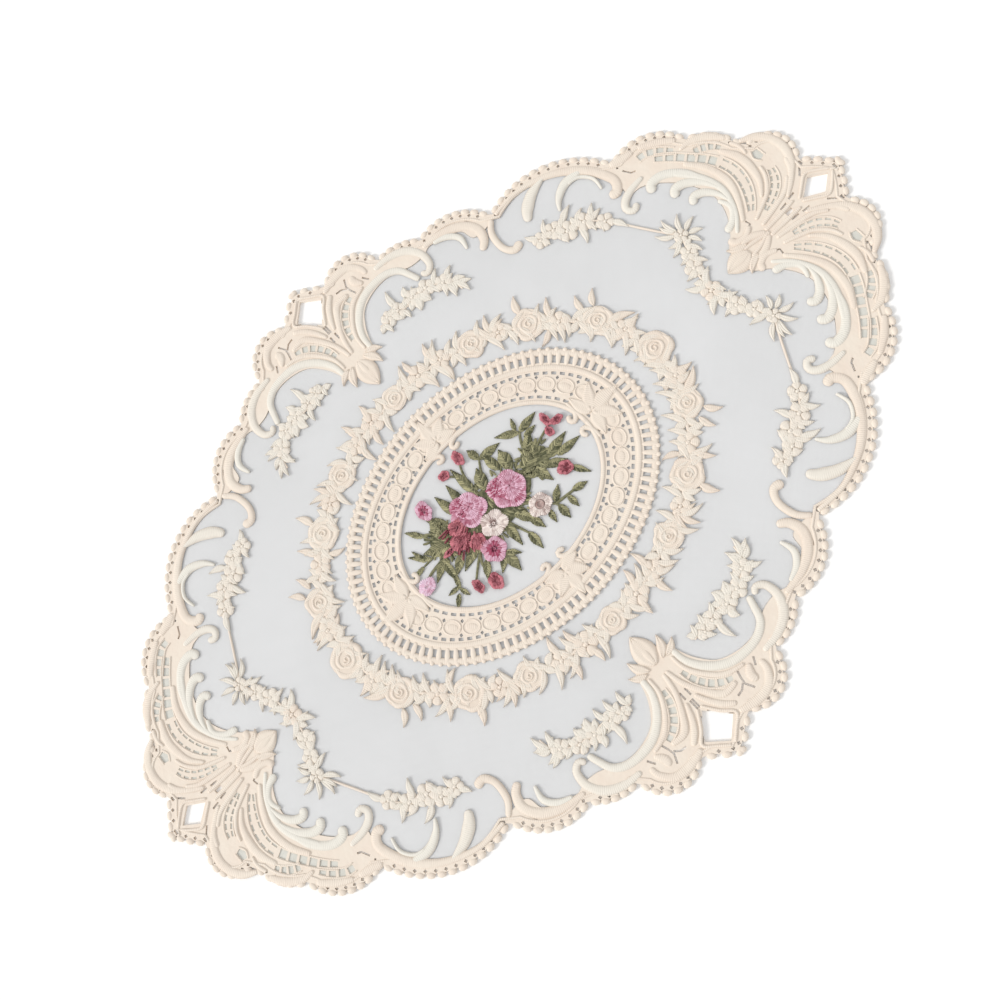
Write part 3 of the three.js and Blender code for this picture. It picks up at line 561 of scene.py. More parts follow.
# Lace border, satin bands
# Broad low bands of satin stitch that cover most of the ground: arches, curls, hooks, plumes, ribs of the
# fans, pads between them, rails along the ladders and a thin cord behind the pinholes. Thread is laid across
# each of them, over a core.
STITCH_LOW = 1.3
LEAF_HIGH = 2.2
MOTIF_HIGH = 2.4
BAND_HIGH = 2.2
BAND_STEPS = 28
RAIL = (0.9, 1.1, 0.9)
RAIL_HIGH = 1.9
RAIL_AWAY = 0.5
RAIL_STEPS = 40
RIM_INSET = 5.7
RIM_WIDE = 1.5
RIM_HIGH = 1.95
BANDS = [
    ([(9.6, 104), (10.6, 112), (16, 120.5), (25.3, 126.4), (38, 127), (46, 123), (49, 116), (50.5, 111)],
     (3, 4.6, 4.8, 4.2, 3), 0.7),
    ([(38, 132.6), (48, 131.4), (56, 127), (60, 120), (59.4, 113), (55.6, 110.4), (53.2, 113)],
     (3, 4.6, 5.2, 4, 3), 0.5),
    ([(62.7, 121.8), (74, 120), (83, 115.4), (88, 108), (86.5, 101), (82, 97.6)], (2.6, 4.6, 5.4, 5.4, 3.6)),
    ([(68, 119.4), (75, 116.6), (79, 111), (77.6, 104)], (2, 3.6, 3.4, 1.6), 0.8),
    ([(96, 106), (91, 100), (89.8, 91), (93, 85.6), (98, 86.6)], (3, 3.6, 3.6, 4.8)),
    ([(99, 106), (115, 106.2), (132, 99.6), (144, 88.5), (150.2, 75), (147, 68.6), (142.8, 69.8)],
     (2.4, 2.8, 3.6, 4.8, 5.2, 5)),
    ([(128, 101.5), (119, 100), (111.5, 95.6), (107.6, 90.6)], (1.6, 5.2, 6.4, 4), 0.6),
    ([(143, 90), (133, 91), (125.6, 87.6), (121.6, 82.6)], (3.6, 5, 4, 1.4), 0.8),
    ([(134, 89.6), (140, 88), (144, 82), (143, 75)], (1.4, 2, 2, 1.4), 0.8),
    ([(153.5, 80.4), (159.6, 78.6), (166, 77)], (4, 5.4, 3)),
    ([(168.6, 76.6), (176.6, 71.6), (183.6, 65.2)], (3, 4.8, 3.6)),
    ([(181, 60.4), (187.6, 59.6), (194.4, 55), (199.6, 47.6)], (2, 4.6, 5, 3)),
    ([(177, 54), (183, 44), (184.6, 32), (181, 22), (174.7, 12.5)], (3, 4.4, 4.6, 3.6, 2.4)),
    ([(168.8, 10.5), (176, 19), (180, 31), (177.6, 43), (170, 55)], (2, 3.4, 4, 4, 3), 0.8),
    ([(188.8, 14.4), (194.2, 21), (196.6, 30), (196.2, 38), (192.6, 46)], (2, 3.4, 5, 5, 2.6)),
    ([(199.6, 35), (200.4, 38), (200, 42), (198.6, 45)], (1.4, 2.2, 2.6, 2)),
    ([(166, 5), (172, 4.4), (178, 0.8)], (2.6, 4.4, 3)),
    ([(165, 2.6), (172, 1.6), (179, -0.6)], (2, 2.6, 1.6)),
    ([(196.6, 5.6), (202.4, 9.4), (207.6, 14), (210, 20)], (2, 3.4, 3.8, 2.4)),
    ([(158, 54.6), (160, 58.6), (167, 57.6), (174.4, 50.6), (178.6, 42)], (5, 5.2, 5, 4, 1.6), 0.8),
    ([(163, 44.6), (165.6, 48), (171, 46.6), (176.6, 40.6), (179.4, 33)], (4.6, 5, 4.6, 3.6, 1.4), 0.8),
    ([(166, 35.6), (168.6, 38.6), (173.4, 36.6), (177, 31), (178, 25)], (4.2, 4.6, 4.2, 3, 1.4), 0.8),
    ([(174.6, 28.6), (176.4, 22), (172, 16.6), (166, 14.6)], (2, 3.4, 3.6, 4.4), 0.8),
    ([(175, 9), (170, 6.6), (165, 8), (164.4, 11.4)], (3, 3.6, 4, 4.4)),
    ([(202, 42), (207.6, 38.6), (212, 33), (213.4, 25), (210.6, 17), (205, 11)],
     (2, 4.6, 5.2, 5.2, 4.6, 2.4)),
    ([(160, 64.4), (152, 64), (146, 62), (143.4, 58.4), (145.6, 55.4), (149, 57.2)],
     (2.6, 3.8, 4.2, 3.8, 3.4), 0.6),
    ([(179, 8.6), (186.6, 11.6), (192.6, 14.6), (197.6, 20.4), (199.4, 26)], (2, 2.4, 2.6, 2.4, 1.6)),
    ([(179, 4.6), (189, 6.4), (198, 8.6), (204, 13)], (2.2, 3, 3, 2)),
    ([(178, 1.8), (186, 2), (197, 2.4)], (2.4, 2.8, 1.8)),
    ([(11.6, 143.6), (20, 145.4), (28.6, 144.4), (33.4, 139), (34, 134)], (3, 5, 5.2, 4.4, 3)),
    ([(27.4, 139.6), (26.6, 136), (29.4, 131.6)], (4.6, 5.2, 2.4)),
    ([(0.8, 109), (2.6, 118), (7, 127), (12.4, 133.6), (20, 133.6)], (2.4, 3, 3.6, 4.4, 2.6)),
    ([(13.6, 140.4), (9, 136.6), (5.4, 131.4), (2.6, 125)], (3, 3.8, 3.4, 2)),
    ([(7.2, 106), (8, 114), (12.6, 122), (19, 128), (28, 130.6)], (1.8, 2.4, 3, 3, 2)),
    ([(0.9, 151.6), (5.6, 147.6), (10.6, 142.9), (5.8, 137.4), (0.9, 130.2)], (1.6, 1.9, 1.6)),
    ([(199.4, 0.9), (204.4, 4.4), (209.7, 7.6), (214.4, 5), (219, 0.9)], (1.6, 1.9, 1.6)),
]
BORDER_LEAVES = [
    (0, 104, 17, 8.4, -90), (166, 0, 14, 9, 180), (4, 104, 11, 5, -62), (168, 3.6, 10, 4.6, 152),
    (6, 104.4, 9, 4, -30),
]
LEAF_PROFILE = (0.2, 0.72, 1, 0.95, 0.72, 0.4, 0.06)
ROUND_ENDS = np.array([0.06, 0.3, 0.62])


def toward(angle):
    return np.array((math.cos(angle), math.sin(angle)))


def crowned(across, groove=0.0):
    """The cross-section of a band: places from side to side, and how high it stands there."""
    side = np.linspace(-1, 1, across + 1)
    return side, (1 - np.abs(side) ** 2.6) ** 0.6 - groove * np.exp(-((side / 0.2) ** 2))


def lay_band(work, line, left, side, shift, rise, along, tone, hue, closed=False):
    """Cross-sections joined along a line, and shut at its ends unless it closes on itself."""
    flat = line[:, None, :] + left[:, None, :] * shift[:, :, None]
    points = np.concatenate([flat, rise[:, :, None]], axis=2).reshape(-1, 3)
    n, rows, faces = len(side), len(line), []
    for i in range(rows if closed else rows - 1):
        a, b = i * n, (i + 1) % rows * n
        faces += [[a + k, a + k + 1, b + k + 1, b + k] for k in range(n - 1)]
        faces.append([a + n - 1, a, b, b + n - 1])
    if not closed:
        faces += [list(range(n)), list(range((rows - 1) * n, rows * n))]
    work.add(points, faces, np.repeat(along, n), np.tile(side, rows), tone, hue)


def satin(work, path, wide, high, low=STITCH_LOW, tone=0.95, across=6, groove=0.0, step=1.3, hue=0.0):
    """A crowned closed band of satin stitch along a path, round at both ends and flat beneath."""
    knots = np.array(path, float)
    full = paced(knots)[-1]
    ends = [min(max(w, 0.5) / 2, 0.4 * full) for w in (wide[0], wide[-1])]
    middle = np.linspace(ends[0], full - ends[1], max(2, round((full - sum(ends)) / step) + 1))
    marks = np.r_[ends[0] * ROUND_ENDS, middle, full - ends[1] * ROUND_ENDS[::-1]]
    line = spots_on(knots, marks)
    near = np.minimum(np.minimum(marks / ends[0], (full - marks) / ends[1]), 1)
    ease = np.sqrt(1 - (1 - near) ** 2)
    side, crown = crowned(across, groove)
    shift = (breadth(marks / full, wide) / 2 * ease)[:, None] * side[None, :]
    rise = low + (high - low) * (0.3 + 0.7 * ease)[:, None] * crown[None, :]
    lay_band(work, line, leftward(np.gradient(line, axis=0)), side, shift, rise, marks, tone, hue)


def hoop(work, loop, wide, high, low=STITCH_LOW, tone=0.95, across=6):
    """A crowned closed band of satin stitch round a closed loop."""
    loop = np.array(loop, float)
    side, crown = crowned(across)
    shift = np.tile(wide / 2 * side, (len(loop), 1))
    rise = np.tile(low + (high - low) * crown, (len(loop), 1))
    left = leftward(np.roll(loop, -1, axis=0) - np.roll(loop, 1, axis=0))
    legs = np.cumsum(np.hypot(*(loop - np.roll(loop, 1, axis=0)).T))
    lay_band(work, loop, left, side, shift, rise, legs, tone, 0.0, closed=True)


def leaf(work, x, y, length, wide, turn, high, signs=(1, 1), bend=0.1, hue=0.0):
    """A satin leaf from its foot, with a vein down the middle."""
    along = toward(math.radians(turn))
    aside = np.array((-along[1], along[0])) * bend * length
    t = np.linspace(0, 1, 9)[:, None]
    path = (np.array((x, y)) + along * length * t + aside * np.sin(math.pi * t)) * signs
    satin(work, path, [wide * share for share in LEAF_PROFILE], high, groove=0.4, step=1.1, hue=hue)


cord_work = Needlework()
for signs in QUARTERS:
    for path, wide, *_ in LADDERS:
        line = smooth_run(path, RAIL_STEPS)
        half = breadth(np.linspace(0, 1, len(line)), wide) / 2 + RAIL_AWAY
        for hand in (1, -1):
            satin(cord_work, beside(line, half * hand) * signs, RAIL, RAIL_HIGH, across=4)
    for path, wide, *pale in BANDS:
        hue = pale[0] if pale else 0.0
        satin(cord_work, smooth_run(path, BAND_STEPS) * signs, wide, BAND_HIGH, hue=hue)
    for row in BORDER_LEAVES:
        leaf(cord_work, *row, MOTIF_HIGH, signs=signs)
rim = all_round(scallop_edge(RIM_INSET, lambda peak: True)[:, :2])
hoop(cord_work, rim, RIM_WIDE, RIM_HIGH)
cord_work.piece("lace_cords", lace_thread, "lace_thread")

# Oval ring
# A ring of needle lace sewn on the panel: two broad rails with short wrapped bars between them, a row of
# padded ovals joined by crossed threads, rows of small slits, and a palmette at each of the four points,
# where the inner rail ends in curls.
RING_OUTER = (78.6, 56.4)
RING_MIDDLE = (67, 47)
RING_INNER = (55.5, 39.5)
RING_LOW_TOP = 1.65
RING_TOP = 2.2
RAILS = [
    ((84.2, 61.2), 3.4, 2.0, 200), ((76.3, 54.1), 3.2, RING_TOP, 180), ((56.9, 40.4), 2.4, RING_TOP, 160),
]
RING_SLITS = [((73.4, 51.4), 4.2, 2.4, 1.5), ((59.6, 42.6), 4.3, 2.6, 1.4)]
PAD_PITCH = 9.5
PAD_RIM = (4.3, 3.5)
PAD_LOW = 1.4
PAD_HIGH = 1.85
PAD_CORD = 1.1
PAD_CORD_HIGH = 2.05
PAD_WIDE = (2.8, 4.8, 2.8)
PAD_REACH = (2.9, 3.0)
CROSSING_AWAY = 3.3
CROSSING_HALVES = (0.9, 1.1, 1.0)
PALMETTES = [(0, 44.4, 14.6, 90), (62, 0, 17.4, 0)]
PALMETTE_SPREAD = ((-104, 0.74), (-52, 0.84), (0, 1), (52, 0.84), (104, 0.74))
PALMETTE_LEAF = 8.4
RIM_CURLS = [
    ([(15, 39.4), (9, 40.2), (4.6, 39), (3.4, 36.6), (5.6, 35.8), (7.2, 37.2)], (1.8, 2.8, 2.6)),
    ([(56.4, 12), (56.4, 7), (55, 3.6), (52.6, 2.8), (51.6, 5), (53.2, 6.6)], (1.8, 2.8, 2.6)),
]
BAR_PITCH = 4.2
BAR_OVAL = (81.6, 58.8)
BAR_SIZE = (4.3, 1.35, 0.5)
BAR_HEIGHT = 1.65
KNOT_OVAL = (85.6, 62.6)
KNOT_SIZE = (1.15, 1.15, 0.55)
KNOT_HEIGHT = 1.75


def oval(halves, steps):
    turns = np.linspace(0, 2 * math.pi, steps, endpoint=False)
    return np.column_stack([halves[0] * np.cos(turns), halves[1] * np.sin(turns)])


def even_oval(halves, pitch):
    """Places at an even pitch round an oval, each with its heading."""
    fine = oval(halves, 2000)
    legs = paced(np.vstack([fine, fine[:1]]))
    count = round(legs[-1] / pitch)
    at = np.interp(np.arange(count) / count * legs[-1], legs, np.linspace(0, 2 * math.pi, 2001))
    heading = np.column_stack([-halves[0] * np.sin(at), halves[1] * np.cos(at)])
    heading /= np.hypot(*heading.T)[:, None]
    return np.column_stack([halves[0] * np.cos(at), halves[1] * np.sin(at), heading])


ring_work = Needlework()
ring_slits = []
for halves, pitch, long, wide in RING_SLITS:
    for x, y, hx, hy in even_oval(halves, pitch):
        along, aside = np.array((hx, hy)) * long / 2, np.array((-hy, hx)) * wide / 2
        rim = np.array([along + aside, aside - along, -along - aside, along - aside])
        ring_slits.append(np.array((x, y)) + rim)
pads = [(row[:2], row[2:], np.array((-row[3], row[2]))) for row in even_oval(RING_MIDDLE, PAD_PITCH)]
half, outward, inward = CROSSING_HALVES
for middle, heading, aside in pads:
    for hand in (1, -1):
        rim = np.array([heading * half, aside * outward * hand, -heading * half, -aside * inward * hand])
        ring_slits.append(middle + heading * PAD_PITCH / 2 + aside * CROSSING_AWAY * hand + rim)
ring_rims = [oval(RING_OUTER, 160), oval(RING_INNER, 120), *ring_slits]
ring_work.slab(ring_rims, STITCH_LOW, RING_LOW_TOP, grid=LACE_GRID, tone=0.8)
for halves, wide, high, steps in RAILS:
    hoop(ring_work, oval(halves, steps), wide, high)
for middle, heading, aside in pads:
    outline = [middle + heading * u + aside * v for u, v in oval(PAD_RIM, 18)]
    hoop(ring_work, outline, PAD_CORD, PAD_CORD_HIGH, low=PAD_LOW, across=4)
    core = [middle - heading * PAD_REACH[0], middle + heading * PAD_REACH[1]]
    satin(ring_work, core, PAD_WIDE, PAD_HIGH, low=PAD_LOW, tone=0.76)
for x, y, reach, turn in PALMETTES:
    for lean, share in PALMETTE_SPREAD:
        row = x, y, reach * share, PALMETTE_LEAF, turn + lean
        for signs in ((1, 1), (-1, -1)):
            leaf(ring_work, *row, MOTIF_HIGH, signs=signs, bend=0.05)
for path, wide in RIM_CURLS:
    for signs in QUARTERS:
        satin(ring_work, smooth_run(path, 24) * signs, wide, RING_TOP)
ring_work.piece("ring_lace", lace_thread, "lace_thread", "oval_ring")
bar_places = [(x, y, -hy, hx) for x, y, hx, hy in even_oval(BAR_OVAL, BAR_PITCH)]
repeated("ring_bars", bar_places, BAR_HEIGHT, BAR_SIZE, knot.material, "lace_thread")
knot_places = even_oval(KNOT_OVAL, BAR_PITCH)
repeated("ring_knots", knot_places, KNOT_HEIGHT, KNOT_SIZE, knot.material, "lace_thread")

# Rose wreath
# Roses, small flowers and leaves in cream satin stitch on a vine outside the ring. Each rose is worked as
# bands that wind inwards, and each small flower as loose petals round a knot.
WREATH_VINE = [(0, 76), (18, 75), (34, 71), (52, 65), (68, 55), (81, 45), (91, 32), (99, 17), (102, 0)]
WREATH_ROSES = [(45, 67.3, 7.4, 10), (71.2, 53.2, 8.4, 30), (95, 29.6, 7.8, 0)]
WREATH_FLOWERS = [
    (16.3, 75.3, 6.4, 18), (29.5, 73, 5.2, 50), (58.4, 61.4, 5, 20), (82, 43, 5.6, 40), (101, 16.6, 5.4, 10),
]
WREATH_AXIS_ROSES = [(0, 76, 6.8, 0), (103.5, 0, 9, 0)]
WREATH_LEAVES = [
    (27, 76, 10, 3.8, 80), (28, 71, 11, 3.8, -95), (55.6, 64, 10, 3.6, 66), (72, 60, 10, 4.2, 66),
    (81, 47, 11, 3.8, 60), (97, 25, 14, 4.6, -25), (16, 79, 8, 3.6, 95), (18, 72, 9, 3.6, -80),
    (55, 62, 9, 3.2, 130), (55, 62, 9, 3.2, 100), (56, 62, 9, 3.2, 20), (76, 44, 9, 3.4, 205),
    (94, 38, 9, 3.6, 75), (99, 36, 9, 3.6, 50), (100, 16, 9, 3.6, 160), (101, 14, 10, 3.8, 20),
]
WREATH_GROWTH = (2.9, 11.4, 3.6)
VINE_WIDE = 1.8
VINE_HIGH = 1.9
LEAF_LEAN = (36, 80)
LEAF_SHARE = (0.7, 1.15)
PETAL_LEAN = (110, 150)
PETAL_SHARE = (0.62, 1.2)
FLOWER_HUE = 0.35
PETAL_HIGH = 2.1
ROSE_ROUNDS = ((0.78, 5, 0.4, 0.7, 0), (0.46, 3, 0.3, 0.88, 30))
PETAL_PROFILE = np.array((0.3, 0.75, 0.95, 0.8))
sway = np.random.default_rng(5)


def reached(centre, angles, reach):
    """Places at some angles and distances from a centre."""
    return centre + np.column_stack([np.cos(angles) * reach, np.sin(angles) * reach])


def rose(work, x, y, radius, turn, signs):
    """A rose of satin bands: five petals outside, three inside and a curl in the middle."""
    centre = np.array((x, y), float)
    lift = MOTIF_HIGH - STITCH_LOW
    pad = centre + oval((radius * 0.92, radius * 0.92), 24)
    # The pad's tone of 0.7 mixes a little painted shade into it, where it shows between the petals.
    work.slab([pad * signs], STITCH_LOW, STITCH_LOW + lift * 0.5, tone=0.7)
    for share, count, wide, top, twist in ROSE_ROUNDS:
        for k in range(count):
            start = math.radians(turn + k * 360 / count + twist)
            arc = start + np.linspace(0, 2 * math.pi / count * 1.2, 8)
            swing = sway.uniform(0.9, 1.06)
            reach = radius * share * swing * (0.94 + 0.16 * np.sin(np.linspace(0, math.pi, 8)))
            band = radius * wide
            shape = (band * 0.3, band, band * 0.8, band * 0.3)
            satin(work, reached(centre, arc, reach) * signs, shape, STITCH_LOW + lift * top)
    arc = np.linspace(0, 2.5 * math.pi, 14) + math.radians(turn)
    curl = reached(centre, arc, np.linspace(0.26, 0.05, 14) * radius)
    satin(work, curl * signs, (radius * 0.12, radius * 0.16, radius * 0.14), MOTIF_HIGH, step=0.8)


def small_flower(work, x, y, radius, turn, signs, hue=0.0):
    """Five loose satin petals round a knot."""
    centre = np.array((x, y), float)
    for k in range(5):
        out = toward(math.radians(turn + k * 72))
        path = [(centre + out * radius * 0.16) * signs, (centre + out * radius * 0.98) * signs]
        satin(work, path, radius * 0.98 * PETAL_PROFILE, MOTIF_HIGH - 0.2, groove=0.2, step=1.0, hue=hue)
    middle, half = centre * signs, (radius * 0.22, 0)
    satin(work, [middle - half, middle + half], (radius * 0.4,) * 3, MOTIF_HIGH + 0.05, step=0.6, hue=hue)


def leafy(work, path, signs, pitch, length, wide, keep_clear=(), hue=0.0):
    """Small leaves set close along a run, to either side in turn, with a petal at the foot of each."""
    line = smooth_run(path, 200)
    for k in range(int(paced(line)[-1] / pitch)):
        at = (k + 0.5) * pitch
        (x, y), (near_x, near_y) = spots_on(line, [at, at + 1])
        heading = math.degrees(math.atan2(near_y - y, near_x - x))
        hand = 1 if k % 2 else -1
        lean, share = sway.uniform(*LEAF_LEAN) * hand, sway.uniform(*LEAF_SHARE)
        petal = sway.uniform(*PETAL_LEAN) * hand
        if any(math.hypot(x - a, y - b) < reach * 0.3 for a, b, reach, _ in keep_clear):
            continue
        leaf(work, x, y, length * share, wide, heading + lean, LEAF_HIGH, signs=signs, hue=hue)
        long, broad = length * PETAL_SHARE[0], wide * PETAL_SHARE[1]
        leaf(work, x, y, long, broad, heading + petal, PETAL_HIGH, signs=signs, hue=hue)


def lay_motifs(work, flowers, leaves, signs, flower_hue=0.0, leaf_hue=0.0):
    """One quarter's small flowers and the leaves between them."""
    for row in flowers:
        small_flower(work, *row, signs, hue=flower_hue)
    for row in leaves:
        leaf(work, *row, LEAF_HIGH, signs=signs, hue=leaf_hue)


wreath_work = Needlework()
hoop(wreath_work, all_round(smooth_run(WREATH_VINE, 60)), VINE_WIDE, VINE_HIGH)
in_bloom = WREATH_ROSES + WREATH_FLOWERS + WREATH_AXIS_ROSES
for signs in QUARTERS:
    leafy(wreath_work, WREATH_VINE, signs, *WREATH_GROWTH, in_bloom, hue=FLOWER_HUE)
    for row in WREATH_ROSES:
        rose(wreath_work, *row, signs)
    lay_motifs(wreath_work, WREATH_FLOWERS, WREATH_LEAVES, signs)
for signs in ((1, 1), (-1, -1)):
    for row in WREATH_AXIS_ROSES:
        rose(wreath_work, *row, signs)
wreath_work.piece("stitched_wreath", lace_thread, "lace_thread", "rose_wreath")

# Flower sprays and side garlands
# Short stems of small flowers and leaves in the same cream thread: a spray in each quarter by the long sides,
# and a garland past each end of the ring.
SPRAY_STEM = [(20, 108.3), (30, 106.2), (41, 105.6), (51, 104.6), (60, 98.6), (62, 91)]
SPRAY_FLOWERS = [
    (32, 107.5, 4.8, 0), (41.6, 107, 5, 30), (49.6, 105.4, 5, 10), (57.4, 100.6, 5, 40), (26, 109, 3.6, 0),
]
SPRAY_LEAVES = [
    (33, 109, 11, 3.8, 84), (42, 105.2, 7, 5.4, -106), (44, 104.6, 7, 5.4, -60), (61, 97, 10, 3.6, -72),
    (58, 98, 8, 3.4, -96), (60, 101, 7, 3.2, 30), (61, 98, 7, 3.4, -30), (40, 109, 6, 4.4, 70),
]
GARLAND_TOP = [(103, 79.6), (110, 78.6), (118, 74.6), (126, 69.6), (133.4, 61.6)]
GARLAND_STEM = [(133.4, 61.6), (140, 49), (146.6, 37), (151, 29.6)]
GARLAND_FOOT = [(151, 29.6), (147, 20), (142.6, 10), (141, 0)]
GARLAND_FLOWERS = [
    (105, 79, 4.6, 0), (112.6, 78, 5, 30), (117, 72.4, 5.6, 60), (125.6, 69.6, 5.4, 0), (132.4, 62, 4.8, 20),
    (151, 29.6, 3.8, 50), (143.6, 13.6, 5, 10), (147.4, 21, 4.4, 40),
]
GARLAND_LEAVES = [
    (118, 77, 10, 3.8, 26), (111.5, 76.5, 9, 3.8, -78), (134, 60, 9, 3.6, -66), (122, 69, 9, 3.6, -110),
    (129, 67, 9, 3.6, 50), (105, 81, 7, 3.4, 130), (152.6, 31, 9, 3, 58), (149, 31.6, 9.6, 3, 134),
    (151, 32.6, 9.6, 3, 96), (154, 29.6, 8, 3, 16), (154, 27.6, 7, 3, -28), (148, 27.4, 8, 3, 200),
    (150, 33, 8, 2.8, 112), (152.6, 26.6, 7, 2.8, -66), (141, 3, 10, 4, 40), (141, 3, 10, 4, 140),
]
GARLAND_MIDDLE = (141, 0, 5.4, 0)
SPRAY_GROWTH = (3.0, 7.4, 3.3)
GARLAND_GROWTH = (3.9, 7.4, 3.2)
LEAF_HUE = 0.6
STEM = (1.0, 1.3, 1.0)
STEM_HIGH = 1.85


def stem(work, path, signs):
    satin(work, smooth_run(path, 30) * signs, STEM, STEM_HIGH, across=4)


for corner, signs in zip(("top_right", "top_left", "bottom_left", "bottom_right"), QUARTERS):
    spray_work = Needlework()
    stem(spray_work, SPRAY_STEM, signs)
    leafy(spray_work, SPRAY_STEM, signs, *SPRAY_GROWTH, hue=LEAF_HUE)
    lay_motifs(spray_work, SPRAY_FLOWERS, SPRAY_LEAVES, signs, FLOWER_HUE, LEAF_HUE)
    spray_work.piece(f"stitched_spray_{corner}", lace_thread, "lace_thread", f"spray_{corner}")
for side, sx in (("right", 1), ("left", -1)):
    garland_work = Needlework()
    for signs in ((sx, 1), (sx, -1)):
        for path in (GARLAND_TOP, GARLAND_STEM, GARLAND_FOOT):
            stem(garland_work, path, signs)
        for path in (GARLAND_TOP, GARLAND_FOOT):
            leafy(garland_work, path, signs, *GARLAND_GROWTH, hue=0.5)
        lay_motifs(garland_work, GARLAND_FLOWERS, GARLAND_LEAVES, signs, FLOWER_HUE, LEAF_HUE)
    small_flower(garland_work, *GARLAND_MIDDLE, (sx, 1))
    garland_work.piece(f"stitched_garland_{side}", lace_thread, "lace_thread", f"garland_{side}")

# Bouquet foliage
# Stems and leaves in olive thread. A leaf is worked in slanted stitches that meet at its vein, in two greens,
# and a close bed of the same stitches lies under the flowers.
BOUQUET_STEMS = [
    [(-46, 5), (-34, 5), (-22, 4)], [(-41, 23), (-36, 16), (-27, 6)], [(-40, 1), (-30, 2.5), (-22, 3)],
    [(-54, -3), (-46, 0), (-37, 1)], [(-28, 24), (-29, 14), (-26, 4)], [(-34, -19), (-24, -11), (-12, -4)],
    [(-26, -24), (-25, -14), (-19, -6)], [(-14, -26), (-12.5, -16), (-8, -6)],
    [(1, -20), (-1, -14), (-3, -8)], [(20, -22), (19, -18.5), (13, -12), (8, -7)],
    [(34, -21), (27, -20), (19.5, -19)], [(1, 30), (-2.5, 22), (-3.5, 11)],
    [(-9, 29), (-5, 24), (-4, 14)], [(9, 24), (5, 18), (2, 10)],
    [(40, 20), (31, 18), (24, 5)], [(44, 11), (34, 8), (23, 4)], [(20, 3), (34, -1), (44, -3)],
    [(38, -13), (34, -7), (22, 1)],
]
BOUQUET_LEAVES = [
    (-36.5, 15.5, 10, 3.4, 123), (-41, 5, 12, 3.4, 132), (-36, 1.5, 13, 4.4, 212), (-37.5, 0.5, 14, 4.4, 264),
    (-29, 5, 16, 9, 88), (-18, -4, 17, 6, 204), (-30, 3, 14, 7.4, 152), (-17.5, 11, 15, 5.4, 98),
    (-12, 11.5, 14.5, 5, 89), (-4, 12, 18, 5.4, 93), (0, 10, 12, 7, 68), (8.5, 23, 8, 4.6, 100),
    (8.5, 23, 12.5, 5, -6), (16, 8, 12, 7.4, 80), (31, 18.3, 12.5, 4.4, 146), (31, 18.5, 12.5, 4.6, 6),
    (21, 4, 13, 10, 20), (32, 0, 15, 5.4, 9), (36, -3, 14, 4.6, -4), (24, 1.5, 12, 5.4, -78),
    (36.3, -10.8, 11, 3.6, -60), (2, -8, 14, 5, -58), (-4, -8, 14, 5, -95), (1, -19, 11, 4.6, -92),
    (-13.5, -18, 12, 5.6, -92), (-13, -17.5, 11, 4, 220), (20, -20, 9, 4.6, -92), (19.5, -18.5, 9, 4, 38),
    (29, -20, 8.5, 4, -15), (26, -20, 8, 3.6, -88), (31, 15, 8, 3.4, 2), (30, 20, 7, 2.6, 66),
    (-44, 6, 9, 2.8, 100), (-46, 5, 8, 2.6, 186), (-13, -18, 8, 3, -50), (15, -18, 8, 3.4, -100),
    (-24, 10, 13, 5.6, 120), (-32, 8, 12, 5, 60), (-28, -3, 12, 5, 214), (26, 8, 12, 5.4, 40),
    (28, -2, 12, 5, -30),
    (12, 12, 12, 5.4, 96), (-22, -14, 10, 4.4, 230), (6, -14, 10, 4.4, -76), (-38, -8, 9.4, 2.8, 250),
    (-40.6, -14, 6.6, 2.6, 176), (-40.8, -15, 6, 2.6, 285), (-42.6, -16.4, 7.6, 2.8, 222),
]
BEDS = [(-3, 1, 27, 12.5, 190), (27, 3, 9, 7, 44), (-31, 7, 8, 7.5, 44)]
BARE_CLOTH = (18.5, -7.2, 5)
FOLIAGE_HIGH = 1.8
FOLIAGE_STEM = (1.0, 1.4, 1.6)
FOLIAGE_STEM_HIGH = 1.7
BED_HIGH = 1.5
BED_SHARE = 0.86
BED_STITCH = 3.6
BED_STITCH_WIDE = 1.3
STITCH_WIDE = 1.25
STRANDS_PER_MM = 1.6
OLIVE_DARK = (0.055, 0.06, 0.025, 1)
OLIVE_LIGHT = (0.46, 0.43, 0.24, 1)
draw = np.random.default_rng(7)


def embroidery_finish(name, dark, light):
    """Embroidery thread whose shade runs from dark to light from stitch to stitch."""
    dye = Dye(name, Sheen_Weight=0.35, Sheen_Roughness=0.35, Specular_IOR_Level=0.4)
    mottle = dye.cloud(600, 3.0)
    dye.put(Base_Color=dye.between(dye.mark("tone") + (mottle - 0.5) * 0.9, dark, light))
    dye.put(Roughness=0.42 + 0.25 * mottle)
    twist = dye.wave(dye.mark("along") + dye.mark("across") * 0.4, STRANDS_PER_MM)
    dye.bumped(twist * 0.4 + mottle, 0.5, 0.0002)
    return dye.material


def stitch(work, start, end, wide, low, high, tone):
    """One long stitch."""
    satin(work, [start, end], (wide * 0.7, wide, wide * 0.7), high, low=low, tone=tone, across=3, step=1.6)


def stitched_leaf(work, x, y, length, wide, turn):
    """A leaf in slanted stitches that meet at its vein, over a thin pad."""
    along = toward(math.radians(turn))
    aside = np.array((-along[1], along[0]))
    foot = np.array((x, y), float)
    shape = [wide * share * 0.92 for share in LEAF_PROFILE]
    pad_high = (STITCH_LOW + FOLIAGE_HIGH) / 2
    satin(work, [foot, foot + along * length], shape, pad_high, tone=0.1, across=4, step=1.8)
    count = max(4, round(length / STITCH_WIDE))
    for k in range(count):
        t = (k + 0.4) / count
        half = breadth(t + 0.12, shape) / 2
        base = foot + along * length * t * 0.94
        for hand in (1, -1):
            tip = base + along * min(half * 0.9 + 0.5, length * (1 - t)) + aside * hand * half
            shade = (0.66 if hand > 0 else 0.3) + draw.uniform(-0.3, 0.3)
            stitch(work, base, tip, STITCH_WIDE, STITCH_LOW, FOLIAGE_HIGH, shade)


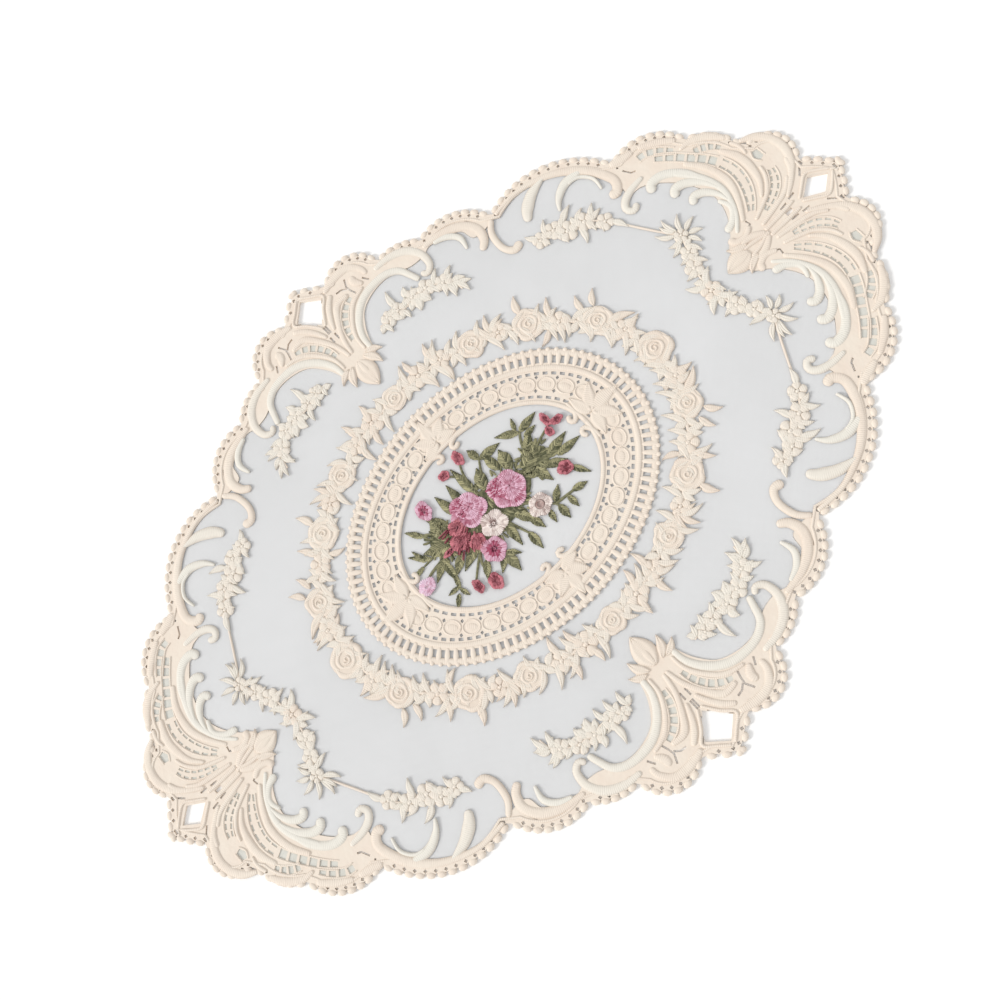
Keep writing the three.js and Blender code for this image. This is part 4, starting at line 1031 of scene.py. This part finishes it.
olive_thread = embroidery_finish("olive_thread", OLIVE_DARK, OLIVE_LIGHT)
foliage_work = Needlework()
for path in BOUQUET_STEMS:
    satin(foliage_work, smooth_run(path, 14), FOLIAGE_STEM, FOLIAGE_STEM_HIGH, tone=0.3, across=4)
for row in BOUQUET_LEAVES:
    stitched_leaf(foliage_work, *row)
for bed_x, bed_y, bed_long, bed_wide, amount in BEDS:
    bed = oval((bed_long, bed_wide), 40) * BED_SHARE + (bed_x, bed_y)
    foliage_work.slab([bed], STITCH_LOW, BED_HIGH, tone=0.1)
    for _ in range(amount):
        angle, share = draw.uniform(0, 2 * math.pi), math.sqrt(draw.uniform(0, 1))
        x, y = bed_x + bed_long * share * math.cos(angle), bed_y + bed_wide * share * math.sin(angle)
        start = np.array((x, y))
        end = start + BED_STITCH * toward(angle + draw.uniform(-0.7, 0.7))
        shade = draw.uniform(0.0, 0.75)
        if math.hypot(*(start - BARE_CLOTH[:2])) > BARE_CLOTH[2]:
            stitch(foliage_work, start, end, BED_STITCH_WIDE, STITCH_LOW, FOLIAGE_HIGH, shade)
foliage_work.piece("stitched_foliage", olive_thread, "olive_thread", "bouquet_foliage")

# Bouquet flowers
# Roses, flowers and buds in shaded pink, red, pale and cream thread, worked over the foliage. Long stitches
# run out from the middle of each petal over a low pad, and change shade on the way.
PINK_DEEP = (0.36, 0.05, 0.11, 1)
PINK = (0.62, 0.26, 0.38, 1)
PINK_PALE = (0.80, 0.52, 0.64, 1)
RED_DEEP = (0.17, 0.02, 0.035, 1)
RED = (0.64, 0.22, 0.26, 1)
CREAM_SHADE = (0.30, 0.17, 0.15, 1)
CREAM = (0.90, 0.81, 0.76, 1)
BLUSH = (0.84, 0.66, 0.78, 1)
BLOOM_LOW = 1.55
BLOOM_HIGH = 2.9
BLOOMS = [
    ("rose_left", -12.4, 9.2, 9.8, 9.2, "pink"),
    ("rose_right", 8.4, 2.2, 10.6, 9.8, "pink"),
    ("cream_flower", -8, -4.6, 7.4, 6.8, "pale"),
    ("deep_petals", -22, 7, 4.6, 4.2, "red"),
    ("deep_petals", -25.4, 1, 5.6, 5, "red"),
    ("deep_petals", -19, -5, 4.6, 4.2, "red"),
    ("deep_petals", -32, 1, 4.6, 1.6, "red"),
    ("pink_flower", -16, -13.6, 7, 6.6, "pink"),
    ("pink_bud", -28, 24.5, 4.4, 5.6, "pink"),
    ("eyelet_flower", 14, -14, 6.5, 6.2, "pale"),
    ("pale_flower", -51.4, -3.2, 5.2, 4.4, "blush"),
    ("red_cluster", 44, 13.4, 2.3, 4, "red"),
    ("red_cluster", 47.8, 9.4, 3.6, 2.2, "red"),
    ("red_cluster", 41.4, 7.8, 2.5, 2.9, "red"),
    ("red_bud_right", 34.6, -10, 4.3, 4.1, "red"),
    ("red_bud_top_left", -9, 29.6, 3.3, 2.8, "red"),
    ("red_bud_top_right", 1.5, 31, 2.8, 4.3, "red"),
    ("red_bud_low_left", -33.6, -20.6, 2.6, 4, "red"),
    ("red_bud_low", -26, -25, 4, 4.6, "red"),
]
THREADS = {
    "pink": (embroidery_finish("pink_thread", PINK_DEEP, PINK_PALE), "pink_thread", 0.15),
    "red": (embroidery_finish("red_thread", RED_DEEP, RED), "red_thread", 0.3),
    "pale": (embroidery_finish("cream_thread", CREAM_SHADE, CREAM), "pale_thread", 0.85),
    "blush": (embroidery_finish("blush_thread", PINK, BLUSH), "pale_thread", 0.7),
}
ROSE_LAYERS = [
    (0, 0, 0.5, 1.0, 5, 1.9, 2.4, (0.45, 0.8)),
    (1, 0.5, 0.3, 0.74, 4, 2.0, 2.6, (0.75, 1.0)),
    (1, 1.0, 0.03, 0.42, 3, 2.1, BLOOM_HIGH, (0.5, 0.9)),
]
BLUSH_LEAN = np.array((1.6, 0.6))
PAD_SHARE = 0.84
PAD_TOP = 2.0
OUTER_WIDE = 1.25
INNER_WIDE = 1.15
LOOSE_WIDE = 1.2
STAMEN_WIDE = 0.5
FLOWER_HIGH = 2.7
FLOWER_TONE = 0.85
FLOWER_HOLLOW = 0.06
EYELET_HOLLOW = 0.36
EYELET = (1.8, 1.8)
EYELET_WIDE = 1.1
DEEP_STITCHES = 34
DEEP_MIDDLE = (-22.5, 1.5)
DEEP_FROM = (-11, 9)
STRAY_STITCHES = 60
STRAY_STITCH = 3.4
STRAY_HIGH = 2.75


def ring_of_petals(work, centre, halves, turn, inner, outer, petals, low, high, tones):
    """Petals of long stitches from the inner to the outer share of the bloom, darker towards the middle."""
    for k in range(petals):
        middle = turn + k * 2 * math.pi / petals
        half = math.pi / petals * 0.94
        reach = outer * draw.uniform(0.88, 1.08)
        depth = draw.uniform(-0.22, 0.12)
        count = max(4, round(2 * half * outer * halves.mean() / 1.05))
        for i in range(count):
            lean = (i + 0.5) / count * 2 - 1
            out = toward(middle + half * lean) * halves
            tip = reach * (1 - 0.18 * lean * lean)
            change = inner + (tip - inner) * draw.uniform(0.4, 0.62)
            shade = tones[1] + depth + draw.uniform(-0.3, 0.3)
            stitch(work, centre + out * change, centre + out * tip, OUTER_WIDE, low, high - 0.15, shade)
            shade = tones[0] + depth + draw.uniform(-0.3, 0.3)
            stitch(work, centre + out * inner, centre + out * (change + 0.06), INNER_WIDE, low, high, shade)


for name in dict.fromkeys(row[0] for row in BLOOMS):
    bloom_work = Needlework()
    for _, x, y, long, wide, thread in (row for row in BLOOMS if row[0] == name):
        finish, slot_name, heart = THREADS[thread]
        centre, halves = np.array((x, y), float), np.array((long, wide))
        turn = draw.uniform(0, math.pi)
        pad = centre + oval((long * PAD_SHARE, wide * PAD_SHARE), 24)
        bloom_work.slab([pad], BLOOM_LOW, PAD_TOP, tone=0.3)
        if name.startswith("rose"):
            for lean, twist, *layer in ROSE_LAYERS:
                ring_of_petals(bloom_work, centre + BLUSH_LEAN * lean, halves, turn + twist, *layer)
            for k in range(DEEP_STITCHES):
                start = centre + halves * (draw.uniform(-0.85, -0.1), draw.uniform(-0.1, 0.75))
                end = start + (draw.uniform(0.8, 3.4), draw.uniform(-1.6, 1.6))
                stitch(bloom_work, start, end, LOOSE_WIDE, PAD_TOP, FLOWER_HIGH, draw.uniform(-0.1, 0.25))
        else:
            layer = EYELET_HOLLOW if name == "eyelet_flower" else FLOWER_HOLLOW, 1.0, 5, 1.95, FLOWER_HIGH
            ring_of_petals(bloom_work, centre, halves, turn, *layer, (heart, FLOWER_TONE))
        if name == "eyelet_flower":
            hole = centre + oval(EYELET, 14)
            hoop(bloom_work, hole, EYELET_WIDE, BLOOM_HIGH, low=PAD_TOP, tone=0.2, across=4)
        if name == "cream_flower":
            for angle in np.linspace(0.4, 2.6 * math.pi, 14):
                out = toward(angle)
                tip = centre + out * draw.uniform(1.6, 3.4)
                stitch(bloom_work, centre + out * 0.8, tip, STAMEN_WIDE, 2.2, BLOOM_HIGH, -0.4)
    if name == "deep_petals":
        for _ in range(STRAY_STITCHES):
            start = np.array(DEEP_MIDDLE) + (draw.uniform(-6.5, 6), draw.uniform(-7, 8))
            end = start + STRAY_STITCH * toward(math.atan2(*(start - DEEP_FROM)[::-1]))
            stitch(bloom_work, start, end, LOOSE_WIDE, BLOOM_LOW, STRAY_HIGH, draw.uniform(-0.1, 0.8))
    bloom_work.piece(f"stitched_{name}", finish, slot_name, f"bouquet_{name}")

# Table top
# A plain white table top under the mat.
FLOOR_WHITE = (0.93, 0.93, 0.93, 1)
FLOOR_BRIGHT = (0.95, 0.95, 0.95, 1)
FLOOR_HALF = 4
table = Dye("table_top_white", Roughness=0.9, Specular_IOR_Level=0.1)
table.put(Base_Color=table.between(table.cloud(3), FLOOR_WHITE, FLOOR_BRIGHT))
top_mesh = bpy.data.meshes.new("table_top")
corners = [(FLOOR_HALF * sx, FLOOR_HALF * sy, 0) for sx, sy in ((-1, -1), (1, -1), (1, 1), (-1, 1))]
top_mesh.from_pydata(corners, [], [[0, 1, 2, 3]])
top_mesh.materials.append(table.material)
table_top = set_out("table_top", top_mesh)

# The panel and the pieces on it
# The organza is cut flat and laid on the table. The lace, the ring, the motifs and the bouquet are worked or
# sewn on it, and are gathered here in a list.
worked_on = [o for o in bpy.data.objects if "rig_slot" in o and o != panel]

# Light and camera
# Soft studio light: a broad sky and a soft low lamp from the left of the mat's length, which lets the
# stitching cast small shadows. The camera stands where the photograph was taken.
SKY_STRENGTH = 0.82
LAMP_STRENGTH = 2.0
LAMP_SPREAD = 0.3
LAMP_COLOUR = (1, 0.985, 0.96)
LAMP_FROM = Vector((-0.86, 0.3, 0.56))
CAMERA_LENS = 41.4
CAMERA_TURN = (-0.275177, -0.047631, 0.778449)
CAMERA_SHIFT = Vector((-0.003585, -2.62204, -544.4817)) * MM
sky = bpy.data.worlds.new("soft_sky")
sky.use_nodes = True
backdrop = sky.node_tree.nodes["Background"]
backdrop.inputs["Color"].default_value = (1, 1, 1, 1)
backdrop.inputs["Strength"].default_value = SKY_STRENGTH
bpy.context.scene.world = sky
lamp = bpy.data.lights.new("soft_lamp", "SUN")
lamp.energy = LAMP_STRENGTH
lamp.angle = LAMP_SPREAD
lamp.color = LAMP_COLOUR
lamp_stand = set_out("soft_lamp", lamp)
lamp_stand.rotation_euler = LAMP_FROM.to_track_quat("Z", "Y").to_euler()
bpy.context.scene.view_settings.view_transform = "Standard"
view = bpy.data.cameras.new("photo_camera")
view.lens = CAMERA_LENS
view.sensor_width = 36.0
view.clip_start = 0.01
camera = set_out("photo_camera", view)
turned = Matrix.Rotation(CAMERA_TURN[2], 3, "Z") @ Matrix.Rotation(CAMERA_TURN[0], 3, "X")
turned = turned @ Matrix.Rotation(CAMERA_TURN[1], 3, "Y")
upright = turned.transposed()
camera.matrix_world = Matrix.Translation(-(upright @ CAMERA_SHIFT)) @ upright.to_4x4()
bpy.context.scene.camera = camera
